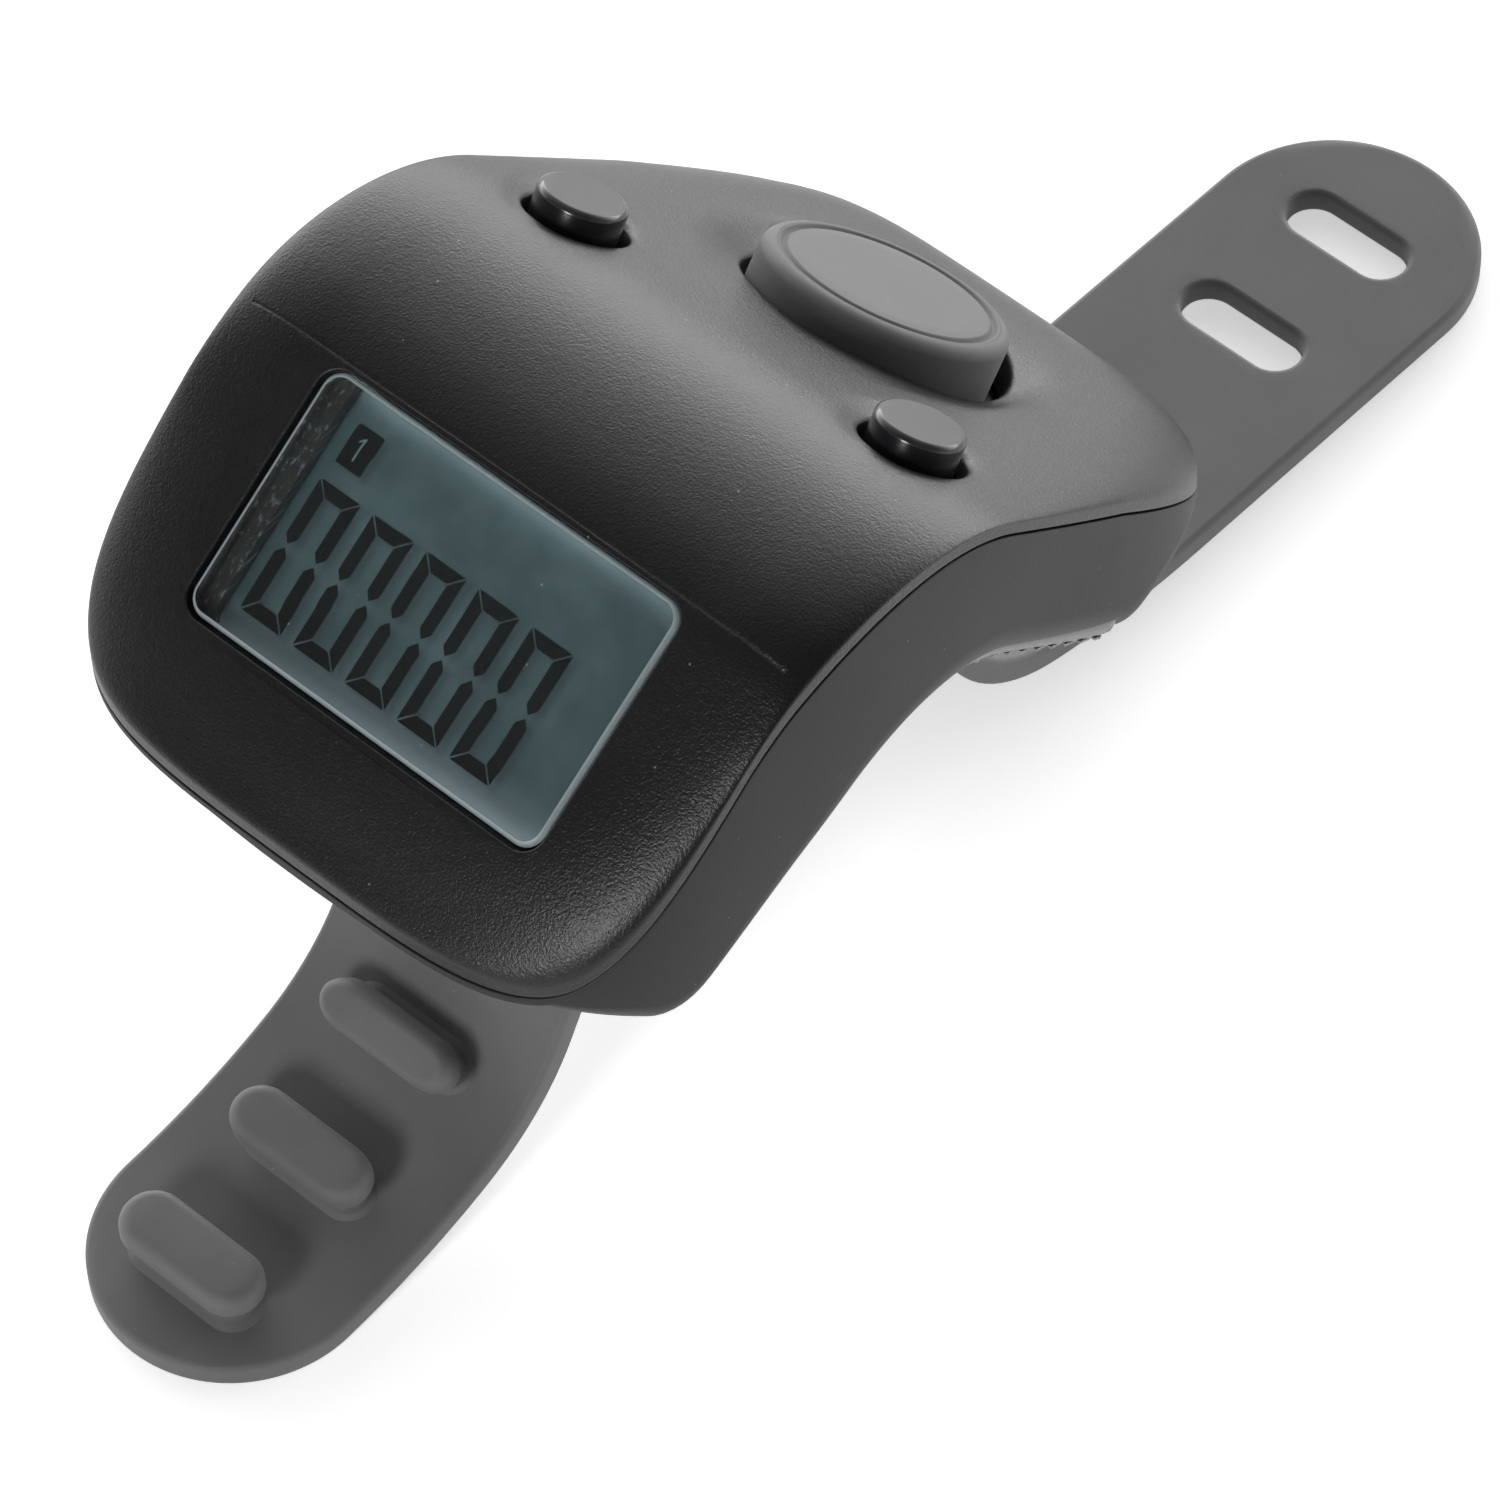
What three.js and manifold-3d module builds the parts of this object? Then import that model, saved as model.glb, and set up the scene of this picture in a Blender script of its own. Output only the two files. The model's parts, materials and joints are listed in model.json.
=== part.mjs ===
// Digital finger counter: a saddle-shaped two-part case with a small number display on its front slope,
// one large and two small push buttons on its back slope, and a silicone strap that goes round a finger.
// Millimetres. +Z is up, -Y is the display side, X runs along the finger. Sizes are measured from the
// middle of the display's window. The part stands on the two feet of its strap, and its origin is on that
// surface, under the middle of the strap's length.

import * as THREE from 'three';
import { mergeVertices } from 'three/addons/utils/BufferGeometryUtils.js';
import Module from 'manifold-3d';

const wasm = await Module();
wasm.setup();

// Clearances
const SEAT_GAP = 0.25; // between a piece and what it rests on
const SLIDE_GAP = 0.3; // round a button in its hole
const SPLIT_GAP = 0.18; // the visible line between the two covers
const SLIVER = 0.006; // smallest detail kept where pieces are cut

// Case, seen from above
const CASE_FRONT_Y = -9.1; // front end of the case
const CASE_REAR_Y = 36.0;
const CASE_HALF_WIDTH = 15.6; // at the widest place, beside the top of the display
const TAIL_HALF_WIDTH = 13.95;
const WIDEST_Y = 5.5;
const END_RUN = 3; // how far the side profiles run past the ends
const NOSE_SPREAD = 0.014; // squares the front corners up, per mm
const FRONT_SQUARENESS = 3.85; // exponents of the rounded-rectangle outline
const REAR_SQUARENESS = 4.8;
const WALL = 1.5;

// Case, seen from the side
const DISPLAY_TILT = 34.2; // degrees
const BROW_Y = 5.9; // where the display slope ends
const BROW_ROUND = 3.5;
const CREST_ROUND = 21;
const CREST_SLOPE = 1.1; // degrees
const BUTTON_SLOPE = 37.5; // degrees, the back slope
const BUTTONS_BEHIND_BROW = 12.74; // from the end of the display slope to the row of small buttons
const BUTTON_ROWS = 7.99; // from that row to the main button
const MAIN_SEAT_DROP = 5.78; // from the display's middle down to the main button's place on the back slope
const SIDE_ROUND = 3.0;
const SIDE_DROP = 1.5;
const FRONT_ROUND = 4.0;
const FRONT_DROP = 1.5;
const REAR_ROUND = 2.4;
const REAR_DROP = 1.7;
const CROWN = 0.15; // how much lower the top is at its sides

// Split line between the covers
const FRONT_SIDE = 1.62; // height of the top cover's side wall at the front end
const REAR_SIDE = 3.03;
const SPLIT_FRONT_FLAT = 1.5; // length of the line's level piece at the front
const SPLIT_FRONT_ROUND = 4;
const SPLIT_PEAK_BEHIND = 4.2; // from the brow to the line's peak, before its rounding
const SPLIT_PEAK_RISE = 2.59;
const SPLIT_PEAK_ROUND = 13;
const SPLIT_REAR_FALL = 2.6; // how far the line falls over the run past the rear end

// Underside: a lobe under the cell, the arch over the finger and a lobe under the buttons
const CELL_CLEARANCE = 0.48; // between the cell's lowest edge and the floor under it
const FRONT_LOBE_Y = -2.2;
const FRONT_LOBE_ROUND = 2.5;
const FRONT_LOBE_LIP = 1.9; // how far the lobe's front line rises past the split line
const ARCH_BEFORE_MAIN = 12.73; // from the arch's corner, before its rounding, to the main button
const ARCH_RISE = 7.8;
const ARCH_ROUND = 10.3;
const REAR_LOBE_RUN = 13.0;
const REAR_LOBE_DROP = 11.2;
const REAR_LOBE_ROUND = 2.2;
const REAR_LOBE_LIP = 0.2;
const FLOOR_WALL = 1.725; // the floor's wall, upright
const BOTTOM_ROUND = 2.3;
const END_ROUND_RISE = 0.3;
const FLARE = 2.8; // how much higher the underside is at its sides than in the middle
const LIP = 0.35; // least height of a cover's wall at the split line

// Display
const WINDOW_WIDTH = 19.4;
const WINDOW_HEIGHT = 11.6;
const WINDOW_CORNER = 1.0;
const WINDOW_THICK = 1.0;
const WINDOW_SUNK = 0.15;
const WINDOW_LEDGE = 0.9; // width of the ledge that carries the window
const GLASS_WIDTH = 20.4;
const GLASS_HEIGHT = 11.4;
const GLASS_THICK = 1.4;
const FRAME_WALL = 0.4;
const FRAME_SHIFT = -0.3; // the glass and its frame sit a little below the window's middle
const FRAME_LIP = 0.6;
const ZEBRA_THICK = 0.9;
const ZEBRA_WIDTH = 1.5;
const BOARD_THICK = 0.8;

// Buttons
const MAIN_TILT = 38.7; // degrees
const MAIN_RADIUS = 5.66;
const MAIN_RISE = 1.3;
const MAIN_DISH_RADIUS = 6.5; // rim of the scooped seat round the button
const MAIN_GROOVE_RADIUS = 4.98;
const GROOVE_WIDTH = 0.36;
const GROOVE_DEPTH = 0.25;
const SMALL_TILT = 33.5; // degrees
const SMALL_RADIUS = 2.22;
const SMALL_RISE = 1.04;
const SMALL_DISH_RADIUS = 2.75;
const SMALL_INSET = 6.3; // from the case's widest side to a small button's axis
const SMALL_LIFT = 0.048; // a small button's seat above the crowned top
const DISH_DEPTH = 1.1;
const FLANGE_OVERHANG = 0.55; // how far a button's flange reaches under the cover
const FLANGE_SINK = 0.5; // between the cover's inner face and a flange
const FLANGE_THICK = 0.5;
const BUTTON_STEM = 2.85; // depth of a stem's end below the cover's surface
const MAIN_STEM_RADIUS = 1.5;
const SMALL_STEM_RADIUS = 1.1;
const BUTTON_EDGE = 0.45; // rounding of a button's top edge

// Button board and its switches, depths below the cover's surface
const SWITCH_BOARD_DEPTH = 5.0;
const SWITCH_SIZE = 4.4;
const SWITCH_HEIGHT = 1.1;
const SWITCH_FLOOR = 0.2;
const PLUNGER_RADIUS = 1.2;
const PLUNGER_LENGTH = 0.9;
const SWITCH_BOARD_TAIL = 4.6; // how far the board runs down the slope past the main switch
const BOARD_MARGIN = 0.4;
const DISPLAY_BOARD_TAIL = 4.3; // how far the display board runs on above its frame

// Cell and its contacts
const CELL_DIAMETER = 11.6;
const CELL_HEIGHT = 3.1;
const CELL_V = -1.2; // along the display board, from its middle
const CONTACT_THICK = 0.3;
const CONTACT_WIDTH = 3.6;
const CONTACT_FOOT = 2.2;
const CONTACT_ARM = 8;
const HOLDER_WALL = 0.8;
const HOLDER_SHORT = 0.6; // how far the holder's wall stops above the cell's lower face
const HOLDER_GAP_WIDTH = 5.4; // the contact's way in
const HOLDER_GAP_LENGTH = 6;

// Chip under the display board, and the flat cable between the two boards
const CHIP_RADIUS = 2.3;
const CHIP_HEIGHT = 0.9;
const CHIP_X = 9.2;
const CHIP_V = -1.5;
const CABLE_THICK = 0.16;
const CABLE_WIDTH = 8;
const CABLE_BEND = 1.2;
const CABLE_ON_DISPLAY_BOARD = 6.2; // where it leaves the display board, from the display's middle
const CABLE_ON_BUTTON_BOARD = 1.5; // where it meets the button board, past the small switches' row

// Strap
const FRONT_WIDTH = 12.7;
const REAR_WIDTH = 13.2;
const STRAP_THICK = 1.3;
const STRAP_BED_ANGLE = 34; // degrees each side of the arch's top where the strap leaves the case
const STRAP_LEG_ANGLE = 60;
const BEND_GAP = 0.45; // lets a wing swing about the end of the strap's middle
const PEG_LENGTH = 7.4;
const PEG_WIDTH = 3.0;
const PEG_HEAD = 1.2;
const PEG_NECK = 1.4;
const PEG_NECK_WIDTH = 2.0;
const PEG_PITCH = 7.15;
const PEG_END = 3.95; // from the tip to the last peg's middle
const PEG_COUNT = 3;
const SLOT_LENGTH = 6.4;
const SLOT_WIDTH = 2.6;
const SLOT_PITCH = 7.4;
const SLOT_END = 5.8; // from the tip to the last slot's middle
const SLOT_COUNT = 2;
// Each leg goes straight down, bends out by the degrees of its two bends, and ends in a straight foot.
const FRONT_LEG = { shin: 9.8, bend: 10, bendAngle: 40, instep: 28, instepAngle: 20, foot: 5.35 };
const REAR_LEG = { shin: 9.1, bend: 9, bendAngle: 44, instep: 40, instepAngle: 13.6, foot: 24.0 };
const ANCHOR_OFFSET = 2.3; // each side of the arch's top
const ANCHOR_LIFT = 0.5; // clears the curve of the floor under an anchor's head
const ANCHOR_HEAD = 0.8;

// Screws
const SCREW_RADIUS = 0.8;
const SCREW_HEAD_RADIUS = 1.35;
const SCREW_HEAD = 0.8;
const COVER_SCREW_LENGTH = 3.0;
const BOARD_SCREW_LENGTH = 2.6;
const BOSS_RADIUS = 1.5;
const SCREW_HEAD_SINK = 2.4; // from the split line down to the face that a screw's head pulls on
const FRONT_SCREW_X = 7.5;
const FRONT_SCREW_INSET = 2.8; // from the case's end to a screw's axis
const REAR_SCREW_X = 8.8;
const REAR_SCREW_INSET = 6.0;
const DISPLAY_SCREW_INSET = 1.9; // from the display board's side
const DISPLAY_SCREW_BACK = 1.55; // from the display board's upper end
const BUTTON_SCREW_OUT = 2.9; // from the main button's side
const BUTTON_SCREW_BACK = 0.2; // from the main button's axis towards the small buttons

const rad = THREE.MathUtils.degToRad;

const black = { color: 0x1f1f21, roughness: 0.5, metalness: 0 };
const finishes = {
  caseBlack: new THREE.MeshStandardMaterial({ ...black, name: 'case_black' }),
  buttonBlack: new THREE.MeshStandardMaterial({ color: 0x2a2a2c, roughness: 0.25, name: 'button_black' }),
  siliconeGrey: new THREE.MeshStandardMaterial({ color: 0x565656, roughness: 0.7, name: 'silicone_grey' }),
  buttonGrey: new THREE.MeshStandardMaterial({ color: 0x8a8a8a, roughness: 0.7, name: 'button_grey' }),
  clear: new THREE.MeshStandardMaterial({ color: 0xdfe8ea, roughness: 0.05, name: 'clear_window' }),
  display: new THREE.MeshStandardMaterial({ color: 0x4a6a70, roughness: 0.2, name: 'display_glass' }),
  frameGrey: new THREE.MeshStandardMaterial({ color: 0x2e3031, roughness: 0.4, name: 'frame_grey' }),
  holderWhite: new THREE.MeshStandardMaterial({ color: 0xd8d8d4, roughness: 0.6, name: 'holder_white' }),
  board: new THREE.MeshStandardMaterial({ color: 0x1f5a34, roughness: 0.5, name: 'board_green' }),
  rubberBlack: new THREE.MeshStandardMaterial({ color: 0x18181a, roughness: 0.8, name: 'rubber_black' }),
  steel: new THREE.MeshStandardMaterial({ color: 0xb8b8ba, roughness: 0.35, metalness: 1, name: 'steel' }),
  flex: new THREE.MeshStandardMaterial({ color: 0xa86a28, roughness: 0.4, name: 'flex_amber' }),
};

// A closed geometry as a solid that can be cut and joined.
function solidOf(geometry) {
  const bare = geometry.clone();
  bare.deleteAttribute('normal');
  bare.deleteAttribute('uv');
  const merged = mergeVertices(bare, 1e-4);
  const index = merged.index.array;
  const kept = [];
  for (let i = 0; i < index.length; i += 3) {
    const [a, b, c] = [index[i], index[i + 1], index[i + 2]];
    if (a !== b && b !== c && a !== c) kept.push(a, b, c);
  }
  const mesh = new wasm.Mesh({
    numProp: 3,
    vertProperties: new Float32Array(merged.attributes.position.array),
    triVerts: new Uint32Array(kept),
  });
  return new wasm.Manifold(mesh);
}

// Takes slivers that are thinner than SLIVER out of a cut solid on the way back to a geometry.
function geometryOf(solid) {
  const mesh = solid.asOriginal().simplify(SLIVER).getMesh();
  const geometry = new THREE.BufferGeometry();
  geometry.setAttribute('position', new THREE.BufferAttribute(new Float32Array(mesh.vertProperties), 3));
  geometry.setIndex(new THREE.BufferAttribute(new Uint32Array(mesh.triVerts), 1));
  geometry.computeVertexNormals();
  return geometry;
}

function joined(solids) {
  return solids.reduce((whole, solid) => whole.add(solid));
}

function cutBy(solid, cutters) {
  return cutters.reduce((rest, cutter) => rest.subtract(cutter), solid);
}

function moved(geometry, x, y, z) {
  return solidOf(geometry.clone().translate(x, y, z));
}

// A seat is a local frame on a slope: its own x is the part's X, its y runs along the slope towards the
// back, and its z is the slope's normal.
function seat(x, y, z, tiltDegrees) {
  const group = new THREE.Group();
  group.position.set(x, y, z);
  group.rotation.x = rad(tiltDegrees);
  group.updateMatrix();
  return group;
}

function inPart(geometry, group) {
  return solidOf(geometry.clone().applyMatrix4(group.matrix));
}

// Where a corner's rounding has its centre, and how far along its two sides it reaches.
function roundingAt(corners, i) {
  const corner = new THREE.Vector2(corners[i][0], corners[i][1]);
  const before = new THREE.Vector2(corners[i - 1][0], corners[i - 1][1]).sub(corner).normalize();
  const after = new THREE.Vector2(corners[i + 1][0], corners[i + 1][1]).sub(corner).normalize();
  const half = Math.acos(THREE.MathUtils.clamp(before.dot(after), -1, 1)) / 2;
  const reach = corners[i][2] / Math.tan(half);
  const middle = before.clone().add(after).normalize().multiplyScalar(corners[i][2] / Math.sin(half));
  return { corner, before, after, reach, centre: corner.clone().add(middle) };
}

// Path of straight lines through corners, each corner rounded by its own radius.
function roundedPath(corners, stepDegrees = 4) {
  const points = [new THREE.Vector2(corners[0][0], corners[0][1])];
  for (let i = 1; i < corners.length - 1; i += 1) {
    const { corner, before, after, reach, centre } = roundingAt(corners, i);
    const from = corner.clone().addScaledVector(before, reach).sub(centre);
    const to = corner.clone().addScaledVector(after, reach).sub(centre);
    const turn = Math.atan2(from.cross(to), from.dot(to));
    const steps = Math.max(2, Math.ceil(Math.abs(turn) / rad(stepDegrees)));
    for (let k = 0; k <= steps; k += 1) {
      const spoke = from.clone().rotateAround(new THREE.Vector2(), (turn * k) / steps);
      points.push(centre.clone().add(spoke));
    }
  }
  const last = corners[corners.length - 1];
  points.push(new THREE.Vector2(last[0], last[1]));
  return points;
}

function heightOn(path, y) {
  for (let i = 1; i < path.length; i += 1) {
    if (y <= path[i].x || i === path.length - 1) {
      const span = path[i].x - path[i - 1].x;
      return path[i - 1].y + ((path[i].y - path[i - 1].y) * (y - path[i - 1].x)) / span;
    }
  }
  return path[0].y;
}

const smallY = BROW_Y + BUTTONS_BEHIND_BROW;
const mainY = smallY + BUTTON_ROWS;
const mainZ = -MAIN_SEAT_DROP;
const pastFront = CASE_FRONT_Y - END_RUN;
const pastRear = CASE_REAR_Y + END_RUN;
const onDisplaySlope = (y) => Math.tan(rad(DISPLAY_TILT)) * y;
const onButtonSlope = (y) => mainZ - Math.tan(rad(BUTTON_SLOPE)) * (y - mainY);
const browZ = onDisplaySlope(BROW_Y);

// Side profile of the top: the display slope, the brow, the crest and the back slope.
function topCorners() {
  const crestRise = Math.tan(rad(CREST_SLOPE));
  const fall = Math.tan(rad(BUTTON_SLOPE));
  const crestY = (mainZ + fall * mainY - browZ + crestRise * BROW_Y) / (fall + crestRise);
  return [
    [pastFront, onDisplaySlope(pastFront), 0],
    [BROW_Y, browZ, BROW_ROUND],
    [crestY, browZ + crestRise * (crestY - BROW_Y), CREST_ROUND],
    [pastRear, onButtonSlope(pastRear), 0],
  ];
}

const splitFrontZ = onDisplaySlope(CASE_FRONT_Y) - FRONT_SIDE;
const splitRearZ = onButtonSlope(CASE_REAR_Y) - REAR_SIDE;

function splitCorners() {
  return [
    [pastFront, splitFrontZ, 0],
    [CASE_FRONT_Y + SPLIT_FRONT_FLAT, splitFrontZ, SPLIT_FRONT_ROUND],
    [BROW_Y + SPLIT_PEAK_BEHIND, browZ + SPLIT_PEAK_RISE, SPLIT_PEAK_ROUND],
    [CASE_REAR_Y, splitRearZ, 0],
    [pastRear, splitRearZ - SPLIT_REAR_FALL, 0],
  ];
}

// Lowest edge of the cell, as y and z in the part.
function cellEdge() {
  const along = CELL_V - CELL_DIAMETER / 2;
  const [cos, sin] = [Math.cos(rad(DISPLAY_TILT)), Math.sin(rad(DISPLAY_TILT))];
  return [cos * along - sin * cellBottom, sin * along + cos * cellBottom];
}

// The floor behind the front lobe clears the cell, and the arch and the rear lobe follow from there.
function undersideCorners() {
  const [edgeY, edgeZ] = cellEdge();
  const archY = mainY - ARCH_BEFORE_MAIN;
  const archSlope = ARCH_RISE / (archY - FRONT_LOBE_Y);
  const lobeZ = edgeZ - CELL_CLEARANCE - FLOOR_WALL - archSlope * (edgeY - FRONT_LOBE_Y);
  const rearZ = lobeZ + ARCH_RISE - REAR_LOBE_DROP;
  return [
    [pastFront, splitFrontZ + FRONT_LOBE_LIP, 0],
    [FRONT_LOBE_Y, lobeZ, FRONT_LOBE_ROUND],
    [archY, lobeZ + ARCH_RISE, ARCH_ROUND],
    [archY + REAR_LOBE_RUN, rearZ, REAR_LOBE_ROUND],
    [pastRear, rearZ + REAR_LOBE_LIP, 0],
  ];
}

// Display stack: each height is above the cover's outer face on the display slope, so all are negative.
const innerFace = -(WALL + SEAT_GAP);
const frameTop = innerFace;
const glassTop = frameTop - FRAME_LIP - SEAT_GAP;
const zebraTop = glassTop - GLASS_THICK - SEAT_GAP;
const frameBottom = zebraTop - ZEBRA_THICK;
const boardTop = frameBottom - SEAT_GAP;
const boardBottom = boardTop - BOARD_THICK;
const cellContactTop = boardBottom - SEAT_GAP;
const cellTop = cellContactTop - CONTACT_THICK - SEAT_GAP;
const cellBottom = cellTop - CELL_HEIGHT;

const topPath = roundedPath(topCorners());
const splitPath = roundedPath(splitCorners());
const undersidePath = roundedPath(undersideCorners());
const archCentre = roundingAt(undersideCorners(), 2).centre;

function halfWidthAt(y) {
  if (y < WIDEST_Y) return CASE_HALF_WIDTH + NOSE_SPREAD * (y - WIDEST_Y) ** 2;
  const along = (y - WIDEST_Y) / (CASE_REAR_Y - WIDEST_Y);
  const ease = 0.5 - 0.5 * Math.cos(Math.PI * Math.min(along, 1));
  return CASE_HALF_WIDTH + (TAIL_HALF_WIDTH - CASE_HALF_WIDTH) * ease;
}

// A point of a height field over the case's outline. across and along run from -1 to 1, and the square
// they span is drawn in to the rounded outline. Towards the outline the height falls over a rounding.
function fieldPoint(across, along, inset, { height, rounding, ceiling, floor }) {
  const reach = Math.max(Math.abs(across), Math.abs(along));
  const squareness = along < 0 ? FRONT_SQUARENESS : REAR_SQUARENESS;
  const pa = Math.abs(across) ** squareness;
  const pb = Math.abs(along) ** squareness;
  const pull = reach === 0 ? 0 : reach / (pa + pb) ** (1 / squareness);
  const halfLength = (CASE_REAR_Y - CASE_FRONT_Y) / 2 - inset;
  const y = (CASE_FRONT_Y + CASE_REAR_Y) / 2 + along * pull * halfLength;
  const halfWidth = halfWidthAt(y) - inset;
  const x = across * pull * halfWidth;
  let z = height(x, y);
  if (rounding) {
    const sideShare = reach === 0 ? 0.5 : pa / (pa + pb);
    const end = along < 0 ? rounding.front : rounding.rear;
    const band = (sideShare * rounding.side[0]) / halfWidth + ((1 - sideShare) * end[0]) / halfLength;
    const drop = sideShare * rounding.side[1] + (1 - sideShare) * end[1];
    const into = THREE.MathUtils.clamp((reach - 1 + band) / band, 0, 1);
    z -= drop * (1 - Math.sqrt(1 - into * into));
  }
  if (ceiling) z = Math.min(z, ceiling(x, y));
  if (floor) z = Math.max(z, floor(x, y));
  return [x, y, z];
}

// Grid stations from -1 to 1, closer together towards the ends.
function stations(inner, outer) {
  const half = [];
  for (let i = 1; i <= inner; i += 1) half.push((0.74 * i) / inner);
  for (let i = 1; i <= outer; i += 1) half.push(0.74 + 0.26 * Math.sin((Math.PI / 2) * (i / outer)));
  return [...half.map((value) => -value).reverse(), 0, ...half];
}

// Closed solid between an upper and a lower height field over the case's outline.
function fieldSolid(inset, upper, lower, fine = true) {
  const acrossList = fine ? stations(4, 5) : stations(3, 3);
  const alongList = fine ? stations(10, 5) : stations(7, 3);
  const columns = acrossList.length;
  const rows = alongList.length;
  const positions = [];
  for (const field of [upper, lower]) {
    for (const along of alongList) {
      for (const across of acrossList) {
        positions.push(...fieldPoint(across, along, inset, field));
      }
    }
  }
  const index = [];
  const at = (layer, row, column) => layer * rows * columns + row * columns + column;
  for (let row = 0; row + 1 < rows; row += 1) {
    for (let column = 0; column + 1 < columns; column += 1) {
      const [a, b] = [at(0, row, column), at(0, row, column + 1)];
      const [c, d] = [at(0, row + 1, column + 1), at(0, row + 1, column)];
      index.push(a, b, c, a, c, d);
      const [e, f] = [at(1, row, column), at(1, row, column + 1)];
      const [g, h] = [at(1, row + 1, column + 1), at(1, row + 1, column)];
      index.push(e, g, f, e, h, g);
    }
  }
  const rim = [];
  for (let column = 0; column < columns - 1; column += 1) rim.push([0, column]);
  for (let row = 0; row < rows - 1; row += 1) rim.push([row, columns - 1]);
  for (let column = columns - 1; column > 0; column -= 1) rim.push([rows - 1, column]);
  for (let row = rows - 1; row > 0; row -= 1) rim.push([row, 0]);
  rim.forEach(([row, column], i) => {
    const [nextRow, nextColumn] = rim[(i + 1) % rim.length];
    const [a, b] = [at(1, row, column), at(1, nextRow, nextColumn)];
    const [c, d] = [at(0, nextRow, nextColumn), at(0, row, column)];
    index.push(a, b, c, a, c, d);
  });
  const geometry = new THREE.BufferGeometry();
  geometry.setAttribute('position', new THREE.Float32BufferAttribute(positions, 3));
  geometry.setIndex(index);
  return solidOf(geometry);
}

const topRounding = {
  side: [SIDE_ROUND, SIDE_DROP],
  front: [FRONT_ROUND, FRONT_DROP],
  rear: [REAR_ROUND, REAR_DROP],
};
// Inside the walls the same roundings are smaller.
const innerRounding = {
  side: [SIDE_ROUND - WALL, SIDE_DROP * 0.6],
  front: [FRONT_ROUND - WALL, FRONT_DROP * 0.6],
  rear: [REAR_ROUND - WALL, REAR_DROP * 0.6],
};
// The underside rises towards the outline, so its roundings have a negative drop.
const undersideRounding = {
  side: [BOTTOM_ROUND, -BOTTOM_ROUND],
  front: [BOTTOM_ROUND, -END_ROUND_RISE],
  rear: [BOTTOM_ROUND, -END_ROUND_RISE],
};

const topHeight = (x, y) => heightOn(topPath, y) - CROWN * (x / CASE_HALF_WIDTH) ** 2;
const splitHeight = (x, y) => heightOn(splitPath, y);
const undersideHeight = (x, y) => heightOn(undersidePath, y) + FLARE * (x / CASE_HALF_WIDTH) ** 2;

// Rounded rectangle or stadium, lying in the seat's x and y.
function roundedRectangle(width, height, corner) {
  const shape = new THREE.Shape();
  const [w, h] = [width / 2, height / 2];
  shape.moveTo(-w + corner, -h);
  shape.lineTo(w - corner, -h);
  shape.absarc(w - corner, -h + corner, corner, -Math.PI / 2, 0, false);
  shape.lineTo(w, h - corner);
  shape.absarc(w - corner, h - corner, corner, 0, Math.PI / 2, false);
  shape.lineTo(-w + corner, h);
  shape.absarc(-w + corner, h - corner, corner, Math.PI / 2, Math.PI, false);
  shape.lineTo(-w, -h + corner);
  shape.absarc(-w + corner, -h + corner, corner, Math.PI, Math.PI * 1.5, false);
  return shape;
}

function slab(shape, low, high, curveSegments = 6) {
  const geometry = new THREE.ExtrudeGeometry(shape, { depth: high - low, bevelEnabled: false, curveSegments });
  return geometry.translate(0, 0, low);
}

function block(width, height, low, high, x = 0, y = 0) {
  return new THREE.BoxGeometry(width, height, high - low).translate(x, y, (low + high) / 2);
}

// Round piece on the seat's normal, from a list of [radius, height] that starts and ends on the axis.
function turned(profile, segments = 36) {
  const points = profile.map(([radius, height]) => new THREE.Vector2(radius, height));
  return new THREE.LatheGeometry(points, segments).rotateX(Math.PI / 2);
}

function disc(radius, low, high, segments = 36) {
  return turned([[0, low], [radius, low], [radius, high], [0, high]], segments);
}

function cone(lowRadius, highRadius, low, high, segments = 36) {
  return turned([[0, low], [lowRadius, low], [highRadius, high], [0, high]], segments);
}

const smallX = CASE_HALF_WIDTH - SMALL_INSET;
const smallZ = topHeight(smallX, smallY) + SMALL_LIFT;
const displaySeat = seat(0, 0, 0, DISPLAY_TILT);
const mainSeat = seat(0, mainY, mainZ, -MAIN_TILT);
const boardTilt = THREE.MathUtils.radToDeg(Math.atan2(smallZ - mainZ, BUTTON_ROWS));
const boardSeat = seat(0, mainY, mainZ, -boardTilt);
const smallAlong = Math.hypot(smallZ - mainZ, BUTTON_ROWS);
const sides = [['left', -1], ['right', 1]];
const smallSeat = (side) => seat(side * smallX, smallY, smallZ, -SMALL_TILT);

const frameWidth = GLASS_WIDTH + 2 * (SEAT_GAP + FRAME_WALL);
const frameHeight = GLASS_HEIGHT + 2 * (SEAT_GAP + FRAME_WALL);
const displayBoardWidth = frameWidth;
const displayBoardLow = FRAME_SHIFT - frameHeight / 2 - BOARD_MARGIN;
const displayBoardHigh = FRAME_SHIFT + frameHeight / 2 + DISPLAY_BOARD_TAIL;

// Button board in the board's seat, where y runs down the back slope
const switchBoardTop = -SWITCH_BOARD_DEPTH;
const switchBoardBottom = switchBoardTop - BOARD_THICK;
const switchBoardLow = -(smallAlong + SWITCH_SIZE / 2 + BOARD_MARGIN);
const switchBoardHigh = SWITCH_BOARD_TAIL;
const switchBoardWidth = 2 * (smallX + SWITCH_SIZE / 2 + BOARD_MARGIN);

const frontScrewY = CASE_FRONT_Y + FRONT_SCREW_INSET;
const rearScrewY = CASE_REAR_Y - REAR_SCREW_INSET;
const coverScrews = [
  ['cover_screw_front_left', -FRONT_SCREW_X, frontScrewY],
  ['cover_screw_front_right', FRONT_SCREW_X, frontScrewY],
  ['cover_screw_rear_left', -REAR_SCREW_X, rearScrewY],
  ['cover_screw_rear_right', REAR_SCREW_X, rearScrewY],
];
const screwHeadTop = (y) => heightOn(splitPath, y) - SCREW_HEAD_SINK;

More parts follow.
